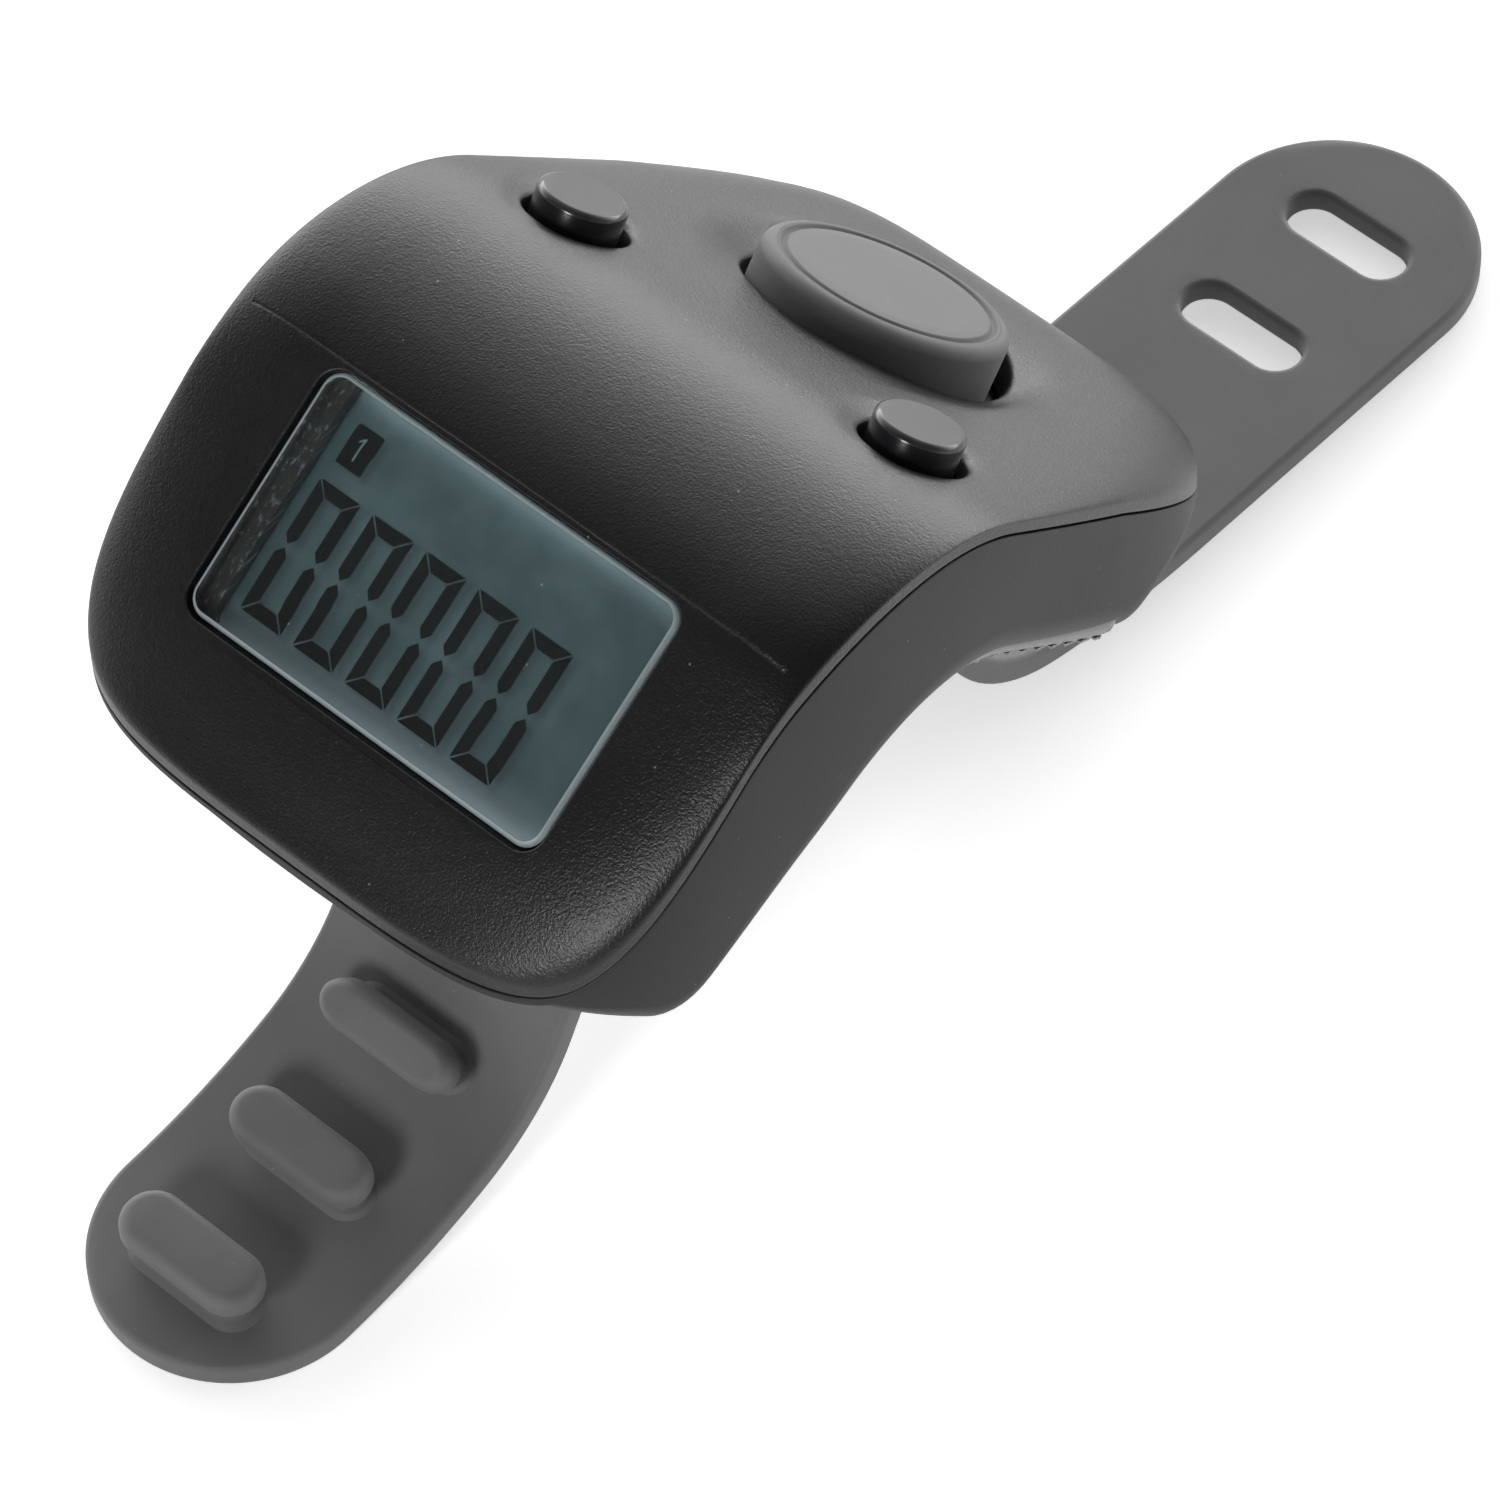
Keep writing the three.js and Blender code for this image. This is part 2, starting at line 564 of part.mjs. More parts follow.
function buttonOpenings(radius, dishRadius) {
  const hole = radius + SLIDE_GAP;
  return [
    cone(hole, dishRadius, -DISH_DEPTH, 0),
    disc(dishRadius, -0.01, 3),
    disc(hole, -DISH_DEPTH - 3, -DISH_DEPTH + 0.01),
  ];
}

// A post under the top cover that a board screw bites into, at a place in a seat.
function boardPost(group, x, y, low) {
  return inPart(disc(BOSS_RADIUS, low, -WALL / 2, 16).translate(x, y, 0), group);
}

const displayScrewX = displayBoardWidth / 2 - DISPLAY_SCREW_INSET;
const displayScrewY = displayBoardHigh - DISPLAY_SCREW_BACK;
const buttonScrewX = MAIN_RADIUS + BUTTON_SCREW_OUT;
const buttonScrewY = -BUTTON_SCREW_BACK;

function topCover() {
  const topZ = (x, y) => topHeight(x, y) - WALL / Math.cos(rad(BUTTON_SLOPE));
  const outer = fieldSolid(
    0,
    { height: topHeight, rounding: topRounding, floor: (x, y) => splitHeight(x, y) + 2 * LIP },
    { height: splitHeight },
  );
  const hollow = fieldSolid(
    WALL,
    { height: topZ, rounding: innerRounding },
    { height: (x, y) => splitHeight(x, y) - 2 },
    false,
  );
  const posts = sides.flatMap(([, side]) => [
    boardPost(displaySeat, side * displayScrewX, displayScrewY, boardTop + SEAT_GAP),
    boardPost(boardSeat, side * buttonScrewX, buttonScrewY, switchBoardTop + SEAT_GAP),
  ]);
  const bosses = coverScrews.map(([, x, y]) => {
    const low = heightOn(splitPath, y) + SEAT_GAP;
    return moved(disc(BOSS_RADIUS, low, heightOn(topPath, y) - WALL, 16), x, y, 0);
  });
  const screwHoles = coverScrews.map(([, x, y]) => {
    const low = screwHeadTop(y);
    return moved(disc(SCREW_RADIUS + SEAT_GAP, low, low + COVER_SCREW_LENGTH + 0.3, 16), x, y, 0);
  });
  const postHoles = sides.flatMap(([, side]) => [
    inPart(
      disc(SCREW_RADIUS + SEAT_GAP, boardTop - 1, boardBottom + BOARD_SCREW_LENGTH + 0.3, 16)
        .translate(side * displayScrewX, displayScrewY, 0),
      displaySeat,
    ),
    inPart(
      disc(SCREW_RADIUS + SEAT_GAP, switchBoardTop - 1, switchBoardBottom + BOARD_SCREW_LENGTH + 0.3, 16)
        .translate(side * buttonScrewX, buttonScrewY, 0),
      boardSeat,
    ),
  ]);
  const windowSeat = roundedRectangle(WINDOW_WIDTH + 0.3, WINDOW_HEIGHT + 0.3, WINDOW_CORNER + 0.15);
  const windowHole = roundedRectangle(
    WINDOW_WIDTH - 2 * WINDOW_LEDGE,
    WINDOW_HEIGHT - 2 * WINDOW_LEDGE,
    WINDOW_CORNER / 2,
  );
  const window = [
    inPart(slab(windowSeat, -(WINDOW_SUNK + WINDOW_THICK + 0.2), 4), displaySeat),
    inPart(slab(windowHole, frameTop, 0), displaySeat),
  ];
  const openings = buttonOpenings(MAIN_RADIUS, MAIN_DISH_RADIUS).map((cutter) => inPart(cutter, mainSeat));
  for (const [, side] of sides) {
    for (const cutter of buttonOpenings(SMALL_RADIUS, SMALL_DISH_RADIUS)) {
      openings.push(inPart(cutter, smallSeat(side)));
    }
  }
  const shell = joined([outer.subtract(hollow), ...posts, ...bosses]).intersect(outer);
  return cutBy(shell, [...window, ...openings, ...screwHoles, ...postHoles]);
}

const neckLength = PEG_LENGTH - (PEG_WIDTH - PEG_NECK_WIDTH);

function anchorShape(length, width) {
  return roundedRectangle(length, width, width / 2 - 0.001);
}

function bottomCover() {
  const floorZ = (x, y) => undersideHeight(x, y) + FLOOR_WALL;
  const outer = fieldSolid(
    0,
    { height: (x, y) => splitHeight(x, y) - SPLIT_GAP },
    {
      height: undersideHeight,
      rounding: undersideRounding,
      ceiling: (x, y) => splitHeight(x, y) - SPLIT_GAP - LIP,
    },
  );
  const hollow = fieldSolid(
    WALL,
    { height: (x, y) => splitHeight(x, y) + 2 },
    { height: floorZ, rounding: undersideRounding, ceiling: (x, y) => splitHeight(x, y) + 1.9 },
    false,
  );
  const bosses = coverScrews.map(([, x, y]) => {
    const low = heightOn(undersidePath, y) - 1;
    return moved(disc(BOSS_RADIUS + 0.5, low, heightOn(splitPath, y) - SPLIT_GAP, 16), x, y, 0);
  });
  const screwHoles = coverScrews.flatMap(([, x, y]) => [
    moved(disc(SCREW_RADIUS + SEAT_GAP, screwHeadTop(y) - 1, screwHeadTop(y) + 9, 16), x, y, 0),
    moved(disc(SCREW_HEAD_RADIUS + SEAT_GAP, screwHeadTop(y) - 12, screwHeadTop(y), 16), x, y, 0),
  ]);
  const anchorHoles = [-1, 1].map((side) => {
    const y = archCentre.x + side * ANCHOR_OFFSET;
    const under = heightOn(undersidePath, y);
    const shape = anchorShape(neckLength + 2 * SEAT_GAP, PEG_NECK_WIDTH + 2 * SEAT_GAP);
    return moved(slab(shape, under - WALL, under + 2 * FLOOR_WALL), 0, y, 0);
  });
  const shell = joined([outer.subtract(hollow), ...bosses]).intersect(outer);
  return cutBy(shell, [...screwHoles, ...anchorHoles]);
}

function displayWindow() {
  const shape = roundedRectangle(WINDOW_WIDTH, WINDOW_HEIGHT, WINDOW_CORNER);
  return slab(shape, -(WINDOW_SUNK + WINDOW_THICK), -WINDOW_SUNK);
}

function displayFrame() {
  const outer = solidOf(block(frameWidth, frameHeight, frameBottom, frameTop, 0, FRAME_SHIFT));
  const pocket = block(
    GLASS_WIDTH + 2 * SEAT_GAP,
    GLASS_HEIGHT + 2 * SEAT_GAP,
    frameBottom - 1,
    glassTop + SEAT_GAP,
    0,
    FRAME_SHIFT,
  );
  const view = block(WINDOW_WIDTH - 2 * WINDOW_LEDGE, WINDOW_HEIGHT - 2 * WINDOW_LEDGE, frameBottom, frameTop + 1);
  return geometryOf(cutBy(outer, [solidOf(pocket), solidOf(view)]));
}

function displayBoard() {
  const middle = (displayBoardLow + displayBoardHigh) / 2;
  const height = displayBoardHigh - displayBoardLow;
  const plate = solidOf(block(displayBoardWidth, height, boardBottom, boardTop, 0, middle));
  const holes = sides.map(([, side]) => moved(
    disc(SCREW_RADIUS + SEAT_GAP, boardBottom - 1, boardTop + 1, 16),
    side * displayScrewX,
    displayScrewY,
    0,
  ));
  return geometryOf(cutBy(plate, holes));
}

function switchBoard() {
  const middle = (switchBoardLow + switchBoardHigh) / 2;
  const height = switchBoardHigh - switchBoardLow;
  const plate = solidOf(block(switchBoardWidth, height, switchBoardBottom, switchBoardTop, 0, middle));
  const holes = sides.map(([, side]) => moved(
    disc(SCREW_RADIUS + SEAT_GAP, switchBoardBottom - 1, switchBoardTop + 1, 16),
    side * buttonScrewX,
    buttonScrewY,
    0,
  ));
  return geometryOf(cutBy(plate, holes));
}

// Pan-head screw, its head's flat side at height 0 and its shank along the seat's normal.
function screw(length) {
  const cross = new THREE.BoxGeometry(SCREW_HEAD_RADIUS * 1.3, 0.3, 0.6).translate(0, 0, -SCREW_HEAD);
  const turnedCross = cross.clone().rotateZ(Math.PI / 2);
  const body = solidOf(turned([
    [0, -SCREW_HEAD],
    [SCREW_HEAD_RADIUS * 0.7, -SCREW_HEAD],
    [SCREW_HEAD_RADIUS, -SCREW_HEAD * 0.4],
    [SCREW_HEAD_RADIUS, 0],
    [SCREW_RADIUS, 0],
    [SCREW_RADIUS, length - 0.6],
    [0, length],
  ], 16));
  return geometryOf(cutBy(body, [solidOf(cross), solidOf(turnedCross)]));
}

// Button with a rounded cap, a flange that keeps it in the case and a stem towards its switch.
function pushButton(radius, rise, flangeRadius, stemRadius, grooved) {
  const round = Math.min(BUTTON_EDGE, rise / 2);
  const flangeTop = -(WALL + FLANGE_SINK);
  const profile = [
    [0, -BUTTON_STEM],
    [stemRadius, -BUTTON_STEM],
    [stemRadius, flangeTop - FLANGE_THICK],
    [flangeRadius, flangeTop - FLANGE_THICK],
    [flangeRadius, flangeTop],
    [radius, flangeTop],
  ];
  for (let k = 0; k <= 4; k += 1) {
    const angle = (Math.PI / 2) * (k / 4);
    profile.push([radius - round + round * Math.cos(angle), rise - round + round * Math.sin(angle)]);
  }
  if (grooved) {
    profile.push([MAIN_GROOVE_RADIUS + GROOVE_WIDTH / 2, rise]);
    profile.push([MAIN_GROOVE_RADIUS, rise - GROOVE_DEPTH]);
    profile.push([MAIN_GROOVE_RADIUS - GROOVE_WIDTH / 2, rise]);
  }
  profile.push([0, rise]);
  return turned(profile, 40);
}

const switchTop = switchBoardTop + SEAT_GAP + SWITCH_HEIGHT;
const plungerTop = -(BUTTON_STEM + SEAT_GAP);

function switchBody(x, y) {
  const low = switchBoardTop + SEAT_GAP;
  const body = solidOf(block(SWITCH_SIZE, SWITCH_SIZE, low, switchTop, x, y));
  const bore = disc(PLUNGER_RADIUS + SEAT_GAP, low + SWITCH_FLOOR, switchTop + 1, 20).translate(x, y, 0);
  return geometryOf(body.subtract(solidOf(bore)));
}

function switchPlunger(x, y) {
  return disc(PLUNGER_RADIUS, plungerTop - PLUNGER_LENGTH, plungerTop, 20).translate(x, y, 0);
}

// Ring wall round the cell, open on one side for the positive contact.
function cellHolder() {
  const inner = CELL_DIAMETER / 2 + SEAT_GAP;
  const outer = inner + HOLDER_WALL;
  const low = cellBottom + HOLDER_SHORT;
  const ring = solidOf(disc(outer, low, cellContactTop, 40)).subtract(solidOf(disc(inner, low - 1, 0, 40)));
  const gap = solidOf(block(HOLDER_GAP_LENGTH, HOLDER_GAP_WIDTH, low - 1, 0, -outer, 0));
  return geometryOf(ring.subtract(gap).translate([0, CELL_V, 0]));
}

function cellBody() {
  const radius = CELL_DIAMETER / 2;
  const capRadius = radius - 1.2;
  return turned([
    [0, cellBottom],
    [radius - 0.3, cellBottom],
    [radius, cellBottom + 0.3],
    [radius, cellTop - 0.5],
    [capRadius + 0.3, cellTop - 0.3],
    [capRadius, cellTop],
    [0, cellTop],
  ], 40).translate(0, CELL_V, 0);
}

function negativeContact() {
  return disc(CONTACT_WIDTH, cellContactTop - CONTACT_THICK, cellContactTop, 24).translate(0, CELL_V, 0);
}

// Strip bent from the board down past the cell and under it.
function positiveContact() {
  const legX = -(CELL_DIAMETER / 2 + SEAT_GAP + 0.2);
  const footLow = cellContactTop - CONTACT_THICK;
  const foot = block(CONTACT_FOOT, CONTACT_WIDTH, footLow, cellContactTop, legX - CONTACT_FOOT / 2, CELL_V);
  const armLow = cellBottom - SEAT_GAP - CONTACT_THICK;
  const leg = block(CONTACT_THICK, CONTACT_WIDTH, armLow, cellContactTop, legX - CONTACT_THICK / 2, CELL_V);
  const armX = legX + CONTACT_ARM / 2 - CONTACT_THICK;
  const arm = block(CONTACT_ARM, CONTACT_WIDTH, armLow, armLow + CONTACT_THICK, armX, CELL_V);
  return geometryOf(joined([solidOf(foot), solidOf(leg), solidOf(arm)]));
}

// Domed blob of resin over the chip.
function chipBlob() {
  const dome = turned([
    [0, -CHIP_HEIGHT],
    [CHIP_RADIUS * 0.52, -CHIP_HEIGHT * 0.83],
    [CHIP_RADIUS * 0.87, -CHIP_HEIGHT * 0.44],
    [CHIP_RADIUS, 0],
    [0, 0],
  ], 20);
  return dome.translate(CHIP_X, CHIP_V, cellContactTop);
}

// Flat cable that joins the two boards, bent round the angle between them.
function flexCable() {
  const under = boardBottom - SEAT_GAP;
  const over = switchBoardTop + SEAT_GAP;
  const reach = CABLE_ON_BUTTON_BOARD - smallAlong;
  const start = new THREE.Vector3(0, CABLE_ON_DISPLAY_BOARD, under).applyMatrix4(displaySeat.matrix);
  const near = new THREE.Vector3(0, CABLE_ON_DISPLAY_BOARD + 1, under).applyMatrix4(displaySeat.matrix);
  const far = new THREE.Vector3(0, reach, over).applyMatrix4(boardSeat.matrix);
  const fold = new THREE.Vector3(0, reach - 1, over).applyMatrix4(boardSeat.matrix);
  const corner = crossing(start, near, far, fold);
  const path = roundedPath([[start.y, start.z, 0], [corner.x, corner.y, CABLE_BEND], [far.y, far.z, 0]], 12);
  return ribbon(path, CABLE_THICK, CABLE_WIDTH);
}

// Where the line through a and b meets the line through c and d, in the Y-Z plane.
function crossing(a, b, c, d) {
  const first = new THREE.Vector2(b.y - a.y, b.z - a.z);
  const second = new THREE.Vector2(d.y - c.y, d.z - c.z);
  const between = new THREE.Vector2(c.y - a.y, c.z - a.z);
  const share = between.cross(second) / first.cross(second);
  return new THREE.Vector2(a.y + first.x * share, a.z + first.y * share);
}

// Band of even thickness along a path in the Y-Z plane, as wide as given along X.
function ribbon(path, thick, width) {
  const above = [];
  const below = [];
  path.forEach((point, i) => {
    const before = path[Math.max(i - 1, 0)];
    const after = path[Math.min(i + 1, path.length - 1)];
    const normal = after.clone().sub(before).normalize().rotateAround(new THREE.Vector2(), Math.PI / 2);
    above.push(point.clone().addScaledVector(normal, thick / 2));
    below.push(point.clone().addScaledVector(normal, -thick / 2));
  });
  const outline = new THREE.Shape([...above, ...below.reverse()]);
  const geometry = new THREE.ExtrudeGeometry(outline, { depth: width, bevelEnabled: false });
  // The shape's x and y become Y and Z, and the depth becomes X.
  geometry.applyMatrix4(new THREE.Matrix4().makeBasis(
    new THREE.Vector3(0, 1, 0),
    new THREE.Vector3(0, 0, 1),
    new THREE.Vector3(1, 0, 0),
  ));
  return geometry.translate(-width / 2, 0, 0);
}

// Strap's middle line: an arc under the arch, then a leg and a foot on each side.
const strapRadius = ARCH_ROUND - SEAT_GAP - STRAP_THICK / 2;

function onStrapArc(degrees) {
  const angle = rad(degrees);
  return new THREE.Vector2(strapRadius * Math.sin(angle), strapRadius * Math.cos(angle)).add(archCentre);
}

function arcPath(from, to, steps) {
  return Array.from({ length: steps + 1 }, (unused, i) => onStrapArc(from + ((to - from) * i) / steps));
}

// Goes on from the arc's leaving angle by the leg's lines and bends, which flatten out towards the foot.
function legPath(side, leg) {
  const gapAngle = THREE.MathUtils.radToDeg(BEND_GAP / strapRadius);
  const points = arcPath(side * (STRAP_BED_ANGLE + gapAngle), side * STRAP_LEG_ANGLE, 6);
  let slope = STRAP_LEG_ANGLE;
  const goOn = (dy, dz) => {
    points.push(points[points.length - 1].clone().add(new THREE.Vector2(side * dy, -dz)));
  };
  const straight = (length) => goOn(length * Math.cos(rad(slope)), length * Math.sin(rad(slope)));
  const bend = (radius, turn) => {
    const steps = Math.max(3, Math.ceil(turn / 6));
    for (let k = 0; k < steps; k += 1) {
      const next = slope - turn / steps;
      goOn(
        radius * (Math.sin(rad(slope)) - Math.sin(rad(next))),
        radius * (Math.cos(rad(next)) - Math.cos(rad(slope))),
      );
      slope = next;
    }
  };
  straight(leg.shin);
  bend(leg.bend, leg.bendAngle);
  bend(leg.instep, leg.instepAngle);
  straight(leg.foot);
  return points;
}

const frontPath = legPath(-1, FRONT_LEG);
const rearPath = legPath(1, REAR_LEG);
const frontTip = frontPath[frontPath.length - 1];
const rearTip = rearPath[rearPath.length - 1];

// Distance back along a path from its end, as a point and the direction towards the end.
function backFrom(path, distance) {
  let left = distance;
  for (let i = path.length - 1; i > 0; i -= 1) {
    const span = path[i].distanceTo(path[i - 1]);
    if (left <= span || i === 1) {
      const along = path[i].clone().sub(path[i - 1]).normalize();
      return { point: path[i].clone().addScaledVector(along, -left), along };
    }
    left -= span;
  }
  return null;
}

// Outline that rounds a strap end off, seen from above, open towards the case.
function endOutline(tipY, side, width) {
  const half = width / 2;
  const shape = new THREE.Shape();
  const from = tipY - side * half;
  shape.moveTo(-half - 1, from - side * 60);
  shape.lineTo(-half - 1, from);
  shape.lineTo(-half, from);
  shape.absellipse(0, from, half, half, Math.PI, side > 0 ? 0 : Math.PI * 2, side > 0, 0);
  shape.lineTo(half + 1, from);
  shape.lineTo(half + 1, from - side * 60);
  return shape;
}

function wing(path, side, width) {
  const band = solidOf(ribbon(path, STRAP_THICK, width));
  const tip = path[path.length - 1];
  const outline = solidOf(slab(endOutline(tip.x, side, width), tip.y - 5, archCentre.y + 30, 10));
  return band.intersect(outline);
}

// Turns a seat so that its z is square to the strap at a place on the path.
function seatOnPath(place, side) {
  const slope = THREE.MathUtils.radToDeg(Math.atan2(place.along.y, place.along.x));
  return seat(0, place.point.x, place.point.y, side > 0 ? slope : slope + 180);
}

function peg(group) {
  const base = STRAP_THICK / 2;
  const neck = anchorShape(neckLength, PEG_NECK_WIDTH);
  const head = anchorShape(PEG_LENGTH, PEG_WIDTH);
  return joined([
    inPart(slab(neck, 0, base + PEG_NECK + 0.05), group),
    inPart(slab(head, base + PEG_NECK, base + PEG_NECK + PEG_HEAD), group),
  ]);
}

function frontWing() {
  const pegs = Array.from({ length: PEG_COUNT }, (unused, i) => (
    peg(seatOnPath(backFrom(frontPath, PEG_END + i * PEG_PITCH), -1))
  ));
  return geometryOf(joined([wing(frontPath, -1, FRONT_WIDTH), ...pegs]));
}

function rearWing() {
  const slots = Array.from({ length: SLOT_COUNT }, (unused, i) => {
    const group = seatOnPath(backFrom(rearPath, SLOT_END + i * SLOT_PITCH), 1);
    return inPart(slab(anchorShape(SLOT_LENGTH, SLOT_WIDTH), -3, 3), group);
  });
  return geometryOf(cutBy(wing(rearPath, 1, REAR_WIDTH), slots));
}

// Strap's middle, with two mushroom anchors that go up through the bottom cover.
function strapCentre() {
  const bed = solidOf(ribbon(arcPath(-STRAP_BED_ANGLE, STRAP_BED_ANGLE, 14), STRAP_THICK, FRONT_WIDTH));
  const anchors = [-1, 1].flatMap((side) => {
    const y = archCentre.x + side * ANCHOR_OFFSET;
    const headLow = heightOn(undersidePath, y) + FLOOR_WALL + ANCHOR_LIFT + SEAT_GAP;
    const foot = heightOn(undersidePath, y) - SEAT_GAP - STRAP_THICK / 2;
    return [
      moved(slab(anchorShape(neckLength, PEG_NECK_WIDTH), foot, headLow + 0.05), 0, y, 0),
      moved(slab(anchorShape(PEG_LENGTH, PEG_WIDTH), headLow, headLow + ANCHOR_HEAD), 0, y, 0),
    ];
  });
  return geometryOf(joined([bed, ...anchors]));
}

const counter = new THREE.Group();
counter.name = 'finger_counter';
counter.position.y = -(frontTip.x + rearTip.x) / 2;
counter.position.z = STRAP_THICK / 2 - frontTip.y;

function add(parent, name, geometry, material) {
  const mesh = new THREE.Mesh(geometry, material);
  mesh.name = name;
  parent.add(mesh);
  return mesh;
}

add(counter, 'top_cover', geometryOf(topCover()), finishes.caseBlack);
add(counter, 'bottom_cover', geometryOf(bottomCover()), finishes.caseBlack);

counter.add(displaySeat);
add(displaySeat, 'display_window', displayWindow(), finishes.clear);
add(displaySeat, 'display_frame', displayFrame(), finishes.frameGrey);
const glass = block(GLASS_WIDTH, GLASS_HEIGHT, glassTop - GLASS_THICK, glassTop, 0, FRAME_SHIFT);
add(displaySeat, 'display_glass', glass, finishes.display);
[['upper', 1], ['lower', -1]].forEach(([name, side]) => {
  const y = FRAME_SHIFT + side * (GLASS_HEIGHT / 2 - ZEBRA_WIDTH / 2 - 0.1);
  const strip = block(GLASS_WIDTH - 1, ZEBRA_WIDTH, frameBottom, zebraTop, 0, y);
  add(displaySeat, `zebra_connector_${name}`, strip, finishes.rubberBlack);
});
add(displaySeat, 'display_board', displayBoard(), finishes.board);
add(displaySeat, 'counter_chip', chipBlob(), finishes.rubberBlack);
add(displaySeat, 'cell_holder', cellHolder(), finishes.holderWhite);
add(displaySeat, 'button_cell', cellBody(), finishes.steel);
add(displaySeat, 'cell_contact_negative', negativeContact(), finishes.steel);
add(displaySeat, 'cell_contact_positive', positiveContact(), finishes.steel);
for (const [name, side] of sides) {
  const head = screw(BOARD_SCREW_LENGTH).translate(side * displayScrewX, displayScrewY, boardBottom - SEAT_GAP);
  add(displaySeat, `display_board_screw_${name}`, head, finishes.steel);
}

counter.add(boardSeat);
add(boardSeat, 'button_board', switchBoard(), finishes.board);
const switches = [['main', 0, 0], ['left', -smallX, -smallAlong], ['right', smallX, -smallAlong]];
for (const [name, x, y] of switches) {
  add(boardSeat, `${name}_switch`, switchBody(x, y), finishes.rubberBlack);
  add(boardSeat, `${name}_switch_plunger`, switchPlunger(x, y), finishes.holderWhite);
}
for (const [name, side] of sides) {
  const head = screw(BOARD_SCREW_LENGTH).translate(side * buttonScrewX, buttonScrewY, switchBoardBottom - SEAT_GAP);
  add(boardSeat, `button_board_screw_${name}`, head, finishes.steel);
}
add(counter, 'flex_cable', flexCable(), finishes.flex);

counter.add(mainSeat);
const mainFlange = MAIN_RADIUS + SLIDE_GAP + FLANGE_OVERHANG;
const mainCap = pushButton(MAIN_RADIUS, MAIN_RISE, mainFlange, MAIN_STEM_RADIUS, true);
add(mainSeat, 'main_button', mainCap, finishes.buttonGrey);
for (const [name, side] of sides) {
  const group = smallSeat(side);
  counter.add(group);
  const flange = SMALL_RADIUS + SLIDE_GAP + FLANGE_OVERHANG;
  const cap = pushButton(SMALL_RADIUS, SMALL_RISE, flange, SMALL_STEM_RADIUS, false);
  add(group, `${name}_button`, cap, finishes.buttonBlack);
}

for (const [name, x, y] of coverScrews) {
  const mesh = add(counter, name, screw(COVER_SCREW_LENGTH), finishes.steel);
  mesh.position.set(x, y, screwHeadTop(y) - SEAT_GAP);
}

add(counter, 'strap_centre', strapCentre(), finishes.siliconeGrey);
add(counter, 'strap_front', frontWing(), finishes.siliconeGrey);
add(counter, 'strap_rear', rearWing(), finishes.siliconeGrey);

export default counter;
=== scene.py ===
import json
import logging
import math
from dataclasses import dataclass
from enum import Enum
from functools import partial
from typing import Callable, Iterable, Sequence

import bmesh
import bpy
import numpy as np
from mathutils import Matrix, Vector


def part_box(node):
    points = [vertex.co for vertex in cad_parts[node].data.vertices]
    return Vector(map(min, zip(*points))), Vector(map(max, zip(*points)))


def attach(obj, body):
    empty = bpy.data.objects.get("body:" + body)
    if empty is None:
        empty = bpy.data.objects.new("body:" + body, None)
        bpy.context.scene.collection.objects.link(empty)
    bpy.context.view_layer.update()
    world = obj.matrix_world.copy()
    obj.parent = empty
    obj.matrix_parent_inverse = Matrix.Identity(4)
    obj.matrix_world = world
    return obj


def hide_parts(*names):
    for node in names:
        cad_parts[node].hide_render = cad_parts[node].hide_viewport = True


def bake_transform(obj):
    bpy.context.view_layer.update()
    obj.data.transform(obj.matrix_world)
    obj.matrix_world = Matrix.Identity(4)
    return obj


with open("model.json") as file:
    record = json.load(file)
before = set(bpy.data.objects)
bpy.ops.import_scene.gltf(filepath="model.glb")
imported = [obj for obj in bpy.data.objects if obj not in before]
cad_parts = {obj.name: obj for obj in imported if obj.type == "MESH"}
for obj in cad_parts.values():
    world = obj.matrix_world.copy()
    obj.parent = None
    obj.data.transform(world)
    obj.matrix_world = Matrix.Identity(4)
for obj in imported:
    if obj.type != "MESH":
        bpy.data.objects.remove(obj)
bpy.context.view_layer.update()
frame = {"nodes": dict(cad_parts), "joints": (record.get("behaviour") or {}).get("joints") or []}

log = logging.getLogger("finger_counter")

Array = np.ndarray
HeightField = Callable[[Array, Array], Array]
Colour = tuple[float, float, float]

MM = 0.001  # the shapes are worked out in millimetres, with the middle of the display at y 0
SHARP_ANGLE = math.radians(32)
FORM_TILT = 34.2  # the display's slope, in degrees
ARC_STEP = 1.0  # degrees between points on a rounded corner
EVEN_SHARE = 0.74  # share of a grid's half that is evenly spaced
CROSSING = 8.0  # degrees at which a cutter with a rounded rim crosses the surface
CROSSING_REACH, CROSSING_LIFT = 0.3, 2.0  # how far it goes on outwards, and where it ends above
WEAR_AND_HIGHLIGHT_RADIUS = 0.35  # a rounding of this radius, in millimetres, counts as a fully rubbed edge and takes the full painted edge highlight
SKIN = 1e-3  # keeps two rings or arcs from meeting in one point
FLOOR_SHARE = 1.15  # height of the sloped floor of the lower cover, over its wall's thickness
DUST_COLOUR, STREAK_COLOUR, SPECK_COLOUR = "a8a8a6", "8d979a", "b7c4c6"


def linear(hex_colour: str) -> Colour:
    """Turns a written sRGB colour such as "1f1f21" into the linear values that shaders take.

    Args:
        hex_colour: Six hexadecimal digits.

    Returns:
        Linear red, green and blue.
    """
    parts = [int(hex_colour[i : i + 2], 16) / 255 for i in (0, 2, 4)]
    return tuple(c / 12.92 if c <= 0.04045 else ((c + 0.055) / 1.055) ** 2.4 for c in parts)


